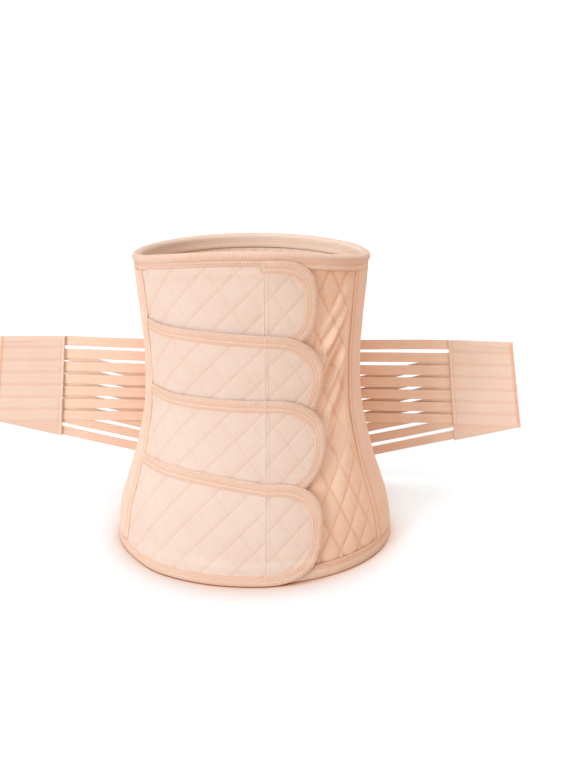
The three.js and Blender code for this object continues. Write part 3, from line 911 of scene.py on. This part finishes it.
# %% The path of a flap's tape
PATH_STEPS = 60  # points along the flap's top, and along its foot
TAPE_SECTION, _ = loop_section([
    # share across from the inner edge, lift, ribs
    (0.0, 0.3, 0), (0.0, 2.5, 0), (0.04, 2.95, 0.2), (0.13, 3.05, 0.3), (0.2, 2.55, 0),
    (0.27, 3.05, 0.3), (0.36, 3.05, 0.3), (0.42, 2.5, 0), (0.5, 3.15, 0.8), (0.66, 3.5, 1),
    (0.82, 3.4, 1), (0.94, 2.7, 1), (1.0, 1.5, 0.8), (0.97, 0.5, 0.2), (0.9, 0.1, 0),
])


def tape_path(number, inset):
    """Turn and height along the flap's edge, inset metres inside it."""
    flap = FLAPS[number]
    shares = np.linspace(0, 1, PATH_STEPS)
    right = turn_at(SEAM_X, flap["centre"])
    top_rough = mix(LEFT_TURN, right, shares)
    # Just before the seam the tape takes the width that it has round the end.
    width = mix(flap["top_width"], FLAP_BINDING, rise(shares, 0.965, 0.985))
    top_z = top_edge(flap, shares, top_rough) - inset * width / FLAP_BINDING
    foot_z = np.full(PATH_STEPS, flap["foot_z"] + inset)
    tops = [mix(LEFT_TURN, turn_at(SEAM_X, top_z), shares), top_z]
    feet = [mix(LEFT_TURN, turn_at(SEAM_X, foot_z), shares)[::-1], foot_z]
    # The angles lie closer together near the seam, where the outline moves on fastest.
    angles = np.linspace(math.pi / 2, -math.pi / 2, 161)[1:-1]
    angles = np.sign(angles) * (math.pi / 2) * (1 - (1 - np.abs(angles) / (math.pi / 2)) ** 1.3)
    x, z = end_point(flap, angles, inset)
    return [np.concatenate(part) for part in zip(tops, [turn_at(x, z), z], feet)]


def path_lengths(number):
    turn, z = tape_path(number, FLAP_BINDING / 2)
    points = on_body(turn, z, 0)
    steps = np.linalg.norm(np.diff(points, axis=0), axis=1)
    return np.concatenate([[0], np.cumsum(steps)])


print("tape round each flap:", [round(float(path_lengths(n)[-1]), 3) for n in range(len(FLAPS))])


# %% [markdown]
# ### Laying the tape on the path
# The section above is laid along the path with even steps, so that every rib is as wide as the
# next. Where the vertical seam is sewn over, the tape stands up in a small ridge.

# %% The flaps' tape
RIB_COLUMN = 0.62 * MM  # about a quarter of a rib's pitch, so that each rib is round


def tape_place(number):
    along = path_lengths(number)
    outer, inner = tape_path(number, 0), tape_path(number, FLAP_BINDING)
    seams = [along[PATH_STEPS - 1], along[-PATH_STEPS]]

    def place(u, v):
        distance = u * along[-1]
        across, lift, ribs = TAPE_SECTION(v)
        turn_out, z_out, turn_in, z_in = [
            np.interp(distance, along, part) for part in (*outer, *inner)
        ]
        turn, z = mix(turn_in, turn_out, across), mix(z_in, z_out, across)
        rib = np.sin(2 * np.pi * (distance + across * FLAP_BINDING * 0.9) / RIB_PITCH)
        joint = sum(bell(distance - seam, 0.8 * MM) for seam in seams)
        front = np.clip(lift - 1.5, 0, 1)
        height = lift * MM + ribs * RIB_HEIGHT * rib + joint * front * 0.4 * MM
        points = flap_points(number, turn, z, height)
        # painted shade in the flap tape's sewn grooves and between its ribs
        bare = 0.8 * (ribs < 0.1) * (lift > 2)
        return points, np.stack([distance, across * FLAP_BINDING], -1), rib_shade(rib, ribs, bare)

    return place


for number in range(len(FLAPS)):
    columns = int(path_lengths(number)[-1] / RIB_COLUMN)
    tape = cloth_grid(f"flap_{number + 1}_tape", columns, 22, tape_place(number), tube=True)
    finish_piece(tape, TWILL, "twill_tape", f"flap_{number + 1}_binding")

# %% [markdown]
# ## The side tapes
# A wide herringbone tape covers each side seam. On the left it is sewn over the roots of the
# flaps, so its front edge rides up and down with the stack below it. On the right it lies on the
# bare wall. Both are a grid with Solidify, and their edges bend down on to the cloth. The
# right one turns away from the light, so painted shade deepens its colour all over.

# %% The surface of a side tape
EDGE_DROP = 0.9 * MM  # how far a side tape's edges bend down on to the cloth
TAPE_ROWS = (0.1, 0.9)  # where its two rows of stitches run, as shares of its width
TAPE_BACK_TURN = math.radians(92)
FINE_STEPS = 500


def stack_height(z):
    """Top of the stack of flaps at the side tape, off the wall."""
    top = np.full(z.shape, SEAT)
    for number, flap in enumerate(FLAPS):
        high = float(top_edge(flap, 0.0, np.array(LEFT_TURN)))
        inside = rise(z, flap["foot_z"] - 1 * MM, flap["foot_z"] + 1 * MM)
        inside = inside * (1 - rise(z, high - 1 * MM, high + 3 * MM))
        near_edge = bell(z - high + FLAP_BINDING / 2, 6 * MM)
        lift = flap_lift(number, np.array(LEFT_TURN), z) + FLAP + 0.9 * MM * near_edge
        top = np.maximum(top, inside * lift * SEWN_FLAT)
    return top


def side_surface(side, front_share, up):
    """Turn, height, lift and groove, which sets painted shade, of a side tape. front_share is 1 at
    its front edge.
    """
    fine_z = np.linspace(0, BODY_HEIGHT + FRONT_RISE, FINE_STEPS)
    stack = smoothed(stack_height(fine_z), 9) if side < 0 else np.full(FINE_STEPS, SEAT * 0.4)
    turn = side * mix(TAPE_BACK_TURN, math.asin(SIDE_TAPE_EDGE), front_share)
    z = mix(BAND_HEIGHT - 1 * MM, rim_height(turn) - BAND_HEIGHT + 1 * MM, up)
    base = mix(SEAT + 0.6 * MM, np.interp(z, fine_z, stack), rise(front_share, 0.35, 0.8))
    sewn = sum(bell(front_share - row, 0.03) for row in TAPE_ROWS)
    rounded = rise(front_share, 0.96, 1.0) + rise(1 - front_share, 0.96, 1.0)
    # painted shade along both sewn rows, at the front edge, and all over the right tape
    groove = 0.6 * sewn + 0.8 * rise(front_share, 0.97, 1.0) + (0.3 if side > 0 else 0)
    return turn, z, base + TAPE - 0.45 * MM * sewn - EDGE_DROP * rounded, np.clip(groove, 0, 1)


# %% [markdown]
# ### Laying the side tapes
# The surface above is the tape's outer face. The grid runs round the body on u and up it on v, and
# on the left u is turned round, so that the faces point outwards on both sides.

# %% The two side tapes
def side_place(side):
    def place(u, v):
        turn, z, lift, groove = side_surface(side, (1 - u) if side > 0 else u, v)
        return on_body(turn, z, lift), np.stack([arc(turn, z), z], -1), groove

    return place


for name, side in (("right", 1), ("left", -1)):
    tape = cloth_grid(f"{name}_side_tape_cloth", 44, 190, side_place(side), thickness=TAPE)
    finish_piece(tape, HERRINGBONE, "twill_tape", f"{name}_side_tape")

# %% [markdown]
# ## The elastic strips
# The strips are the flattest cloth here: webbing that hangs straight between the back and a tab.
# The level ones lie in front and the slanting ones behind, so that each gap shows the other
# layer. Their inner ends go in below the back tape and their outer ends into the tab.

# %% The strips' courses
STRIPS = 7
STRIP_WIDTH = 11.3 * MM
STRIP_PITCH = 15 * MM
SLANT_PITCH = 15.9 * MM
SLANT_START = 102.5 * MM
TAB_START = 216 * MM
TAB_LENGTH = 73 * MM
TAB_LEAN = 15.5 * MM
TAB_OUTER_LEAN = 19 * MM
FAR = TAB_START + TAB_LENGTH
SIDES = [
    dict(name="right", sign=1, start=179 * MM, drop=11 * MM),
    dict(name="left", sign=-1, start=175.5 * MM, drop=0.0),
]


def tab_edge(number):
    return TAB_START + TAB_LEAN * number / (STRIPS - 1)


def tab_end(number):
    return FAR + TAB_OUTER_LEAN * number / (STRIPS - 1)


def level_height(side, number, x):
    return side["start"] - number * STRIP_PITCH - side["drop"] * x / FAR


def slant_height(side, number, x):
    far = tab_end(number)
    start = SLANT_START - number * SLANT_PITCH
    return mix(start, level_height(side, number, far), x / far)


# %% [markdown]
# ### Laying the strips
# A strip is straight from the back tape to the tab, so its depth is read from four stations along
# it. Elastic never hangs quite straight, so a wave a quarter of a millimetre high eases it. Near
# the body the other layers keep the light off, and painted shade, carried in the groove attribute,
# deepens the colour there.

# %% The strips
STRIP_THICKNESS = 0.9 * MM
SLANT_LIFT = 2.4 * MM
BACK_TAPE_WIDTH = 30 * MM
TAB_DEPTH = 108 * MM
TAB_MARGIN = 0.8 * MM
END_TUCK = 2 * MM  # how far inside the tab's outer edge the strips end
INNER_END = 3 * MM
LAYERS = (  # name, height along the strip, lift at the back tape, lift at the tab
    ("level", level_height, 0.0, 0.0),
    ("slant", slant_height, SLANT_LIFT, 1.3 * MM),
)


def strip_place(side, number, height_at, start_lift, tab_lift):
    start = BACK_TAPE_WIDTH / 2 + SEAT + GAP
    foot = max(0.0, float(height_at(side, number, start)) - STRIP_WIDTH / 2)
    wall_y = [float(on_body(math.pi - turn_at(x, foot), foot, 0)[1]) for x in (INNER_END, start)]
    x_stations = [INNER_END, start, tab_edge(number) - TAB_MARGIN, tab_end(number) - END_TUCK]
    y_stations = [
        wall_y[0] + SEAT + start_lift, wall_y[1] + SEAT + start_lift,
        TAB_DEPTH + AXIS_Y + tab_lift, TAB_DEPTH + AXIS_Y + tab_lift,
    ]

    def place(u, v):
        x = mix(x_stations[0], x_stations[-1], u)
        y = np.interp(x, x_stations, y_stations) + STRIP_THICKNESS / 2
        ease = 0.25 * MM * np.sin(x * 38 + number * 1.9 + side["sign"])
        z = height_at(side, number, x) + (v - 0.5) * STRIP_WIDTH + ease * rise(x, 0.03, 0.08)
        cords = 0.1 * MM * np.cos(v * 2 * math.pi * 6)
        points = np.stack([side["sign"] * x, y - cords, np.maximum(z, 0)], -1)
        # painted shadow near the body, where less light gets in, and painted shade between the
        # cords
        shaded = 0.5 * (1 - rise(x, 0.1, 0.17)) + 0.1 * (cords < 0)
        return points, np.stack([x, v * STRIP_WIDTH], -1), np.clip(shaded, 0, 1)

    return place


for side in SIDES:
    for number in range(STRIPS):
        for layer, height_at, start_lift, tab_lift in LAYERS:
            place = strip_place(side, number, height_at, start_lift, tab_lift)
            node = f"{side['name']}_{layer}_strip_{number + 1}"
            strip = cloth_grid(
                f"{side['name']}_{layer}_elastic_{number + 1}", 60, 24, place,
                thickness=STRIP_THICKNESS, middle=True,
            )
            finish_piece(strip, ELASTIC, "elastic", node)

# %% [markdown]
# ## The end tabs
# A tab is a folded cloth over the strips' ends, and the strips show through it as soft ridges.
# Below the lowest level strip it sinks to the slanting one, which leaves a wedge. One shallow
# fold runs under its top edge, and its inner edge is turned in and sewn.

# %% The tabs' relief
TAB_RIDGE = 0.7 * MM  # how far a strip shows through the tab
TAB_HEM = 0.05  # where the seam of its inner edge runs, as a share of its length


def tab_relief(side, u, x, z, high):
    """How far a tab stands out over the strips' level, and its groove value, which sets painted
    shade.
    """
    ridge = 0
    for number in range(STRIPS):
        off = (z - level_height(side, number, x)) / (STRIP_WIDTH / 2)
        ridge = np.maximum(ridge, 1 - rise(np.abs(off), 0.7, 1.25))
    wedge = rise(level_height(side, STRIPS - 1, x) - STRIP_WIDTH / 2 - z, 0, 1.6 * MM)
    fold_line = (z - high) + (tab_end(0) - x) * 0.02 + 2 * MM + (x - tab_edge(0)) * 0.05
    fold = bell(fold_line, 1.1 * MM) * rise(u, 0.35, 0.6)
    fold_shadow = bell(fold_line + 2.2 * MM, 0.8 * MM) * rise(u, 0.35, 0.6)
    hem_line, hem_groove = bell(u - 0.016, 0.012), bell(u - TAB_HEM, 0.012)
    proud = TAB_RIDGE * ridge - TAB_RIDGE * wedge * (1 - u) + 0.5 * MM * fold
    proud = proud + TAB_RIDGE * hem_line - 0.3 * MM * hem_groove + slack(x * 0.9, z * 0.7)
    # painted shade between the strips' ridges and in the hem's groove
    groove = np.maximum(0.5 * (1 - ridge), 0.6 * hem_groove) * (1 - hem_line)
    # a darker band along the overlocked outer edge
    groove = np.maximum(groove, 0.8 * rise(u, 0.93, 0.95))
    # painted shadow under the fold
    return proud, np.maximum(groove, 0.7 * fold_shadow)


# %% [markdown]
# ### Laying the tabs
# The strips hold a tab stretched, so it is a flat sheet that gets the relief above, and a cloth
# simulation would add nothing. Its two upright edges slant outwards to the foot.

# %% The tabs
TAB_CLOTH_THICKNESS = 1.0 * MM


def tab_place(side):
    last = STRIPS - 1

    def place(u, v):
        top_in, top_out = tab_edge(0), tab_end(0)
        foot_in, foot_out = tab_edge(last), tab_end(last)
        x = mix(mix(foot_in, foot_out, u), mix(top_in, top_out, u), v)
        high = level_height(side, 0, x) + STRIP_WIDTH / 2 + TAB_MARGIN
        low = slant_height(side, last, x) - STRIP_WIDTH / 2 - TAB_MARGIN
        z = mix(low, high, v)
        proud, groove = tab_relief(side, u, x, z, high)
        y = TAB_DEPTH + AXIS_Y - GAP - 0.2 * MM - TAB_CLOTH_THICKNESS / 2 - proud
        return np.stack([side["sign"] * x, y, z], -1), np.stack([x, z], -1), groove

    return place


for side in SIDES:
    tab = cloth_grid(
        f"{side['name']}_tab_cloth", 90, 120, tab_place(side),
        thickness=TAB_CLOTH_THICKNESS, middle=True,
    )
    finish_piece(tab, TAB_CLOTH, "hook_fabric", f"{side['name']}_end_tab")

# %% [markdown]
# ## The back tape
# All the strips end below one vertical tape at the back, which spreads their pull over the wall.
# It stands off the wall by the two layers of strips, and its edges are pressed down.

# %% The back tape
BACK_TAPE_FOOT = 17 * MM
BACK_TAPE_TOP = 190 * MM
BACK_TAPE_LIFT = SEAT + SLANT_LIFT + 2.2 * MM


def back_tape_place(u, v):
    z = mix(BACK_TAPE_FOOT, BACK_TAPE_TOP, v)
    x = mix(-BACK_TAPE_WIDTH / 2, BACK_TAPE_WIDTH / 2, u)
    turn = math.pi - turn_at(x, z)
    sewn = bell(np.abs(u - 0.5) - 0.4, 0.025)
    rounded = rise(np.abs(u - 0.5), 0.46, 0.5)
    lift = BACK_TAPE_LIFT - 0.5 * MM * sewn - 1.0 * MM * rounded
    # painted shade along the sewn rows
    return on_body(turn, z, lift), np.stack([x, z], -1), 0.6 * sewn


back_tape = cloth_grid("back_tape_cloth", 40, 140, back_tape_place, thickness=TAPE, middle=True)
finish_piece(back_tape, HERRINGBONE, "twill_tape", "back_tape")

# %% [markdown]
# ## Stitches
# The tapes are sewn with thread that is thick enough to catch light. One stitch is a small sphere,
# drawn out and sunk at its ends. Its points are copied along every row and joined in one mesh,
# because hundreds of separate objects would be slow to handle.

# %% One stitch
STITCH_PITCH = 3.1 * MM
STITCH_LENGTH = 2.5 * MM
THREAD_RADIUS = 0.27 * MM


def one_stitch():
    bpy.ops.object.select_all(action="DESELECT")
    bpy.ops.mesh.primitive_uv_sphere_add(segments=8, ring_count=6, radius=1)
    ball = bpy.context.object
    points = np.array([v.co for v in ball.data.vertices])
    faces = [list(f.vertices) for f in ball.data.polygons]
    bpy.ops.object.delete()
    along = np.sign(points[:, 2]) * np.abs(points[:, 2]) ** 0.7
    sunk = THREAD_RADIUS * 0.8 * along**2
    return np.stack([
        along * STITCH_LENGTH / 2, points[:, 0] * THREAD_RADIUS, points[:, 1] * THREAD_RADIUS - sunk
    ], -1), faces


STITCH_POINTS, STITCH_FACES = one_stitch()
print("one stitch has", len(STITCH_FACES), "faces")


# %% [markdown]
# ### Copying the stitch
# Each stitch gets three axes of its own: along the thread, across it and up from the cloth. One
# einsum turns the points of all the copies at once, which is far faster than adding objects.

# %% Stitches from start to end
def join_stitches(name, slot, starts, ends, ups):
    """One mesh with a stitch from each start to its end, lying on cloth that faces up."""
    middle, tangent = (starts + ends) / 2, ends - starts
    stretch = np.linalg.norm(tangent, axis=1)[:, None] / STITCH_LENGTH
    tangent /= np.linalg.norm(tangent, axis=1)[:, None]
    side = np.cross(ups, tangent)
    side /= np.linalg.norm(side, axis=1)[:, None]
    up = np.cross(tangent, side)
    axes = np.stack([tangent * stretch, side, up], 1)
    copies = middle[:, None] + np.einsum("vk,nkc->nvc", STITCH_POINTS, axes)
    size = len(STITCH_POINTS)
    faces = [[i * size + v for v in face] for i in range(len(starts)) for face in STITCH_FACES]
    mesh = bpy.data.meshes.new(name)
    mesh.from_pydata(copies.reshape(-1, 3).tolist(), [], faces)
    mesh.polygons.foreach_set("use_smooth", [True] * len(mesh.polygons))
    piece = bpy.data.objects.new(name, mesh)
    bpy.context.collection.objects.link(piece)
    return finish_piece(piece, THREAD, slot)


# %% [markdown]
# ### Rows of stitches
# A row is a path on the body's surface. It is measured first, so that the stitches have an even
# pitch wherever the body widens.

# %% Stitches along rows
def sew(name, slot, rows):
    """Stitches along rows. Each row is a turn, a height and a lift off the wall per point."""
    starts, ends, ups = [], [], []
    for turn, z, lift in rows:
        on, over = on_body(turn, z, lift), on_body(turn, z, lift + MM)
        steps = np.linalg.norm(np.diff(on, axis=0), axis=1)
        along = np.concatenate([[0], np.cumsum(steps)])
        first = (np.arange(int(along[-1] / STITCH_PITCH)) + 0.1) * STITCH_PITCH
        for part, distance in ((starts, first), (ends, first + STITCH_LENGTH)):
            part.append(np.stack([np.interp(distance, along, on[:, i]) for i in range(3)], -1))
        up = [np.interp(first, along, (over - on)[:, i]) for i in range(3)]
        ups.append(np.stack(up, -1))
    return join_stitches(name, slot, *[np.concatenate(part) for part in (starts, ends, ups)])


# %% [markdown]
# ### Sewing the tapes
# Each flap's tape has two rows in its two grooves, and so have the rim's and the hem's. Every row
# asks the same functions for its place as the tape below it does, so the thread lies on the cloth.

# %% Sew the flaps' tapes
GROOVE_SHARES = (0.22, 0.43)  # where the tape's two grooves run, across from its inner edge
GROOVE_LIFT = 2.85 * MM
for number in range(len(FLAPS)):
    rows = []
    for share in GROOVE_SHARES:
        turn, z = tape_path(number, FLAP_BINDING * (1 - share))
        lift = (flap_lift(number, turn, z) + GROOVE_LIFT) * pressed(turn)
        rows.append((turn, z, lift + slack(arc(turn, z), z)))
    sew(f"flap_{number + 1}_stitches", "twill_tape", rows)

# %% [markdown]
# ### Sewing the long tapes
# The rim has two rows outside and two inside. The hem shows only its outer ones. A side tape is
# sewn near both its edges.

# %% Sew the rim, the hem and the side tapes
RING_STEPS = 400
ring_turns = np.linspace(-np.pi, np.pi, RING_STEPS)
rim_rows = [
    (ring_turns, rim_height(ring_turns) - drop * MM, np.full(RING_STEPS, lift * MM))
    for drop, lift in ((8.4, 2.25), (11.9, 2.15), (8.2, -4.7), (12.4, -4.6))
]
sew("rim_stitches", "twill_tape", rim_rows)
hem_rows = [
    (ring_turns, np.full(RING_STEPS, height * MM), np.full(RING_STEPS, lift * MM))
    for height, lift in ((7.5, 1.95), (11.2, 1.8))
]
sew("hem_stitches", "twill_tape", hem_rows)

for name, side in (("right", 1), ("left", -1)):
    up = np.linspace(0.01, 0.99, 300)
    rows = []
    for row in TAPE_ROWS:
        turn, z, lift, _ = side_surface(side, np.full(300, row), up)
        rows.append((turn, z, lift + 0.1 * MM))
    sew(f"{name}_side_stitches", "twill_tape", rows)

# %% [markdown]
# ### Sewing the back tape and the tabs
# The back tape carries the strips' pull, so it has a row along each edge and rows across it. A
# tab's outer edge is overlocked: its thread goes to and fro over the edge in a zigzag.

# %% Sew the back tape
CROSS_ROWS = (22, 62, 102, 142, 185)  # heights in millimetres
back_lift = BACK_TAPE_LIFT + 0.2 * MM
rows = []
for x in (-12 * MM, 12 * MM):
    z = np.linspace(BACK_TAPE_FOOT + 2 * MM, BACK_TAPE_TOP - 2 * MM, 200)
    rows.append((math.pi - turn_at(np.full(200, x), z), z, np.full(200, back_lift - 0.4 * MM)))
for height in CROSS_ROWS:
    x = np.linspace(-11 * MM, 11 * MM, 30)
    z = np.full(30, height * MM)
    rows.append((math.pi - turn_at(x, z), z, np.full(30, back_lift + 0.1 * MM)))
sew("back_tape_stitches", "twill_tape", rows)

# %% [markdown]
# ### Overlocking the tabs
# The zigzag is made from the tab's own place function: its points at the edge and a little further
# in are joined by turns. A straight row sews the fold at the inner edge.

# %% Sew the tabs
OVERLOCK_WIDTH = 4.5 * MM
OUTER_SHARE_OF_TAB = 0.995
for side in SIDES:
    place = tab_place(side)
    v = np.linspace(0.01, 0.99, 90)
    outer, _, _ = place(np.full(90, OUTER_SHARE_OF_TAB), v)
    inner, _, _ = place(np.full(90, OUTER_SHARE_OF_TAB - OVERLOCK_WIDTH / TAB_LENGTH), v)
    toward = np.array([0, -1.0, 0])
    lift = toward * (TAB_CLOTH_THICKNESS / 2 + 0.1 * MM)
    starts = np.concatenate([outer[:-1], inner[:-1]]) + lift
    ends = np.concatenate([inner[:-1], outer[1:]]) + lift
    hem, _, _ = place(np.full(60, TAB_HEM), np.linspace(0.02, 0.98, 60))
    starts = np.concatenate([starts, hem[:-1] + lift])
    ends = np.concatenate([ends, mix(hem[:-1], hem[1:], 0.8) + lift])
    join_stitches(f"{side['name']}_tab_stitches", "hook_fabric", starts, ends,
                  np.tile(toward, (len(starts), 1)))

# %% [markdown]
# ## The floor
# The picture has a white background, but a floor that is white for the light too would throw
# bluish light back at the warm cloth. Light Path tells the two apart: what the camera sees is
# white, and what the cloth gets back is warm. An Ambient Occlusion node paints a warm shadow into
# the floor's colour and glow close to the hem, where it is warmest.

# %% Floor
FLOOR_SEEN = (0.57, 0.78, 0.93)
PAINTED_CONTACT_SHADOW = (0.54, 0.27, 0.13)
FLOOR_BOUNCE = (0.82, 0.71, 0.62)
FLOOR_GLOW = (1, 0.85, 0.79)
CONTACT_REACH = 0.07
bpy.ops.object.select_all(action="DESELECT")
bpy.ops.mesh.primitive_plane_add(size=60, location=(0, 0, -0.0004))
floor = bpy.context.object
floor.name = "floor"
floor_material, nodes, links, floor_shader = new_material("pale floor", (0.9, 0.9, 0.9), 1.0, 0.0)
floor_shader.inputs["Specular IOR Level"].default_value = 0
floor_shader.inputs["Emission Color"].default_value = (*FLOOR_GLOW, 1)
seen = nodes.new("ShaderNodeLightPath").outputs["Is Camera Ray"]
contact = nodes.new("ShaderNodeAmbientOcclusion")
contact.samples = 16
contact.inputs["Distance"].default_value = CONTACT_REACH
# painted shadow: near is 1 close to the hem
near = math_node(nodes, links, "SUBTRACT", 1.0, contact.outputs["AO"])
near = math_node(nodes, links, "POWER", math_node(nodes, links, "MULTIPLY", near, 1.8), 1.6)
# painted shadow: the seen floor turns to a warm shadow colour close to the hem
seen_floor = color_mix(nodes, links, FLOOR_SEEN, PAINTED_CONTACT_SHADOW, near)
floor_color = color_mix(nodes, links, FLOOR_BOUNCE, seen_floor, seen)
links.new(floor_color, floor_shader.inputs["Base Color"])
# painted shadow: less glow close to the hem
glow_share = math_node(nodes, links, "MULTIPLY_ADD", near, -0.25, 0.44)
glow_strength = math_node(nodes, links, "MULTIPLY", seen, glow_share)
links.new(glow_strength, floor_shader.inputs["Emission Strength"])
floor.data.materials.append(floor_material)
print("the floor lies at", floor.location.z, "m")

# %% [markdown]
# ## The light
# Two broad suns stand for soft boxes: one in front, high on the left, which draws the
# quilting, and one above, a little behind, which puts the shadow in front of the hem. The wider a
# sun's angle, the softer its shadow. Suns are used because the binder is lit evenly from top to
# hem, which a lamp close by wouldn't do.

# %% Lights
def soft_light(name, position, strength, color, spread):
    """A sun turned to the middle of the body. spread is its angle in degrees."""
    bpy.ops.object.light_add(type="SUN", location=position)
    light = bpy.context.object
    light.name = name
    light.data.energy = strength
    light.data.color = color
    light.data.angle = math.radians(spread)
    aim = Vector((0, 0, BODY_HEIGHT / 2)) - Vector(position)
    light.rotation_euler = aim.to_track_quat("-Z", "Y").to_euler()
    print(name, "has strength", strength)


soft_light("front light", (-0.95, -1.0, 0.65), 1.4, (0.95, 0.98, 1.0), 22)
soft_light("top light", (0.1, 0.15, 1.3), 1.45, (1, 0.95, 0.90), 70)

# %% [markdown]
# ## The surroundings
# The surroundings glow warmly and fill the shadows, but the camera sees them white, again through
# Light Path.

# %% Surroundings
def background(nodes, color, strength):
    node = nodes.new("ShaderNodeBackground")
    node.inputs["Color"].default_value = (*color, 1)
    node.inputs["Strength"].default_value = strength
    return node.outputs[0]


world = bpy.data.worlds.new("studio")
bpy.context.scene.world = world
world.use_nodes = True
nodes, links = world.node_tree.nodes, world.node_tree.links
light_path = nodes.new("ShaderNodeLightPath")
either = nodes.new("ShaderNodeMixShader")
links.new(light_path.outputs["Is Camera Ray"], either.inputs["Fac"])
links.new(background(nodes, (1.0, 0.78, 0.64), 0.6), either.inputs[1])
links.new(background(nodes, (1, 1, 1), 1.1), either.inputs[2])
links.new(either.outputs[0], nodes["World Output"].inputs["Surface"])
bpy.context.scene.view_settings.view_transform = "Standard"
print("view transform:", bpy.context.scene.view_settings.view_transform)

# %% [markdown]
# ## The camera
# The camera's place comes from the ellipses of rim and hem: how open an ellipse looks gives the
# angle from above, and how its openness changes with height gives the distance. The focal length
# is kept in pixels of the picture's long side and turned into a lens here.

# %% Camera
CAMERA_DISTANCE = 0.79
CAMERA_HEIGHT = 0.44
CAMERA_SIDE = 0.0351
CAMERA_PITCH = 19.4
FOCAL_PIXELS = 826
LONG_SIDE_PIXELS = 768
SENSOR = 36
bpy.ops.object.camera_add(
    location=(CAMERA_SIDE, AXIS_Y - CAMERA_DISTANCE, CAMERA_HEIGHT),
    rotation=(math.radians(90 - CAMERA_PITCH), 0, 0),
)
camera = bpy.context.object
camera.name = "camera"
camera.data.sensor_width = SENSOR
camera.data.lens = FOCAL_PIXELS / LONG_SIDE_PIXELS * SENSOR
camera.data.clip_end = 50
bpy.context.scene.camera = camera
print("lens:", round(camera.data.lens, 2), "mm")
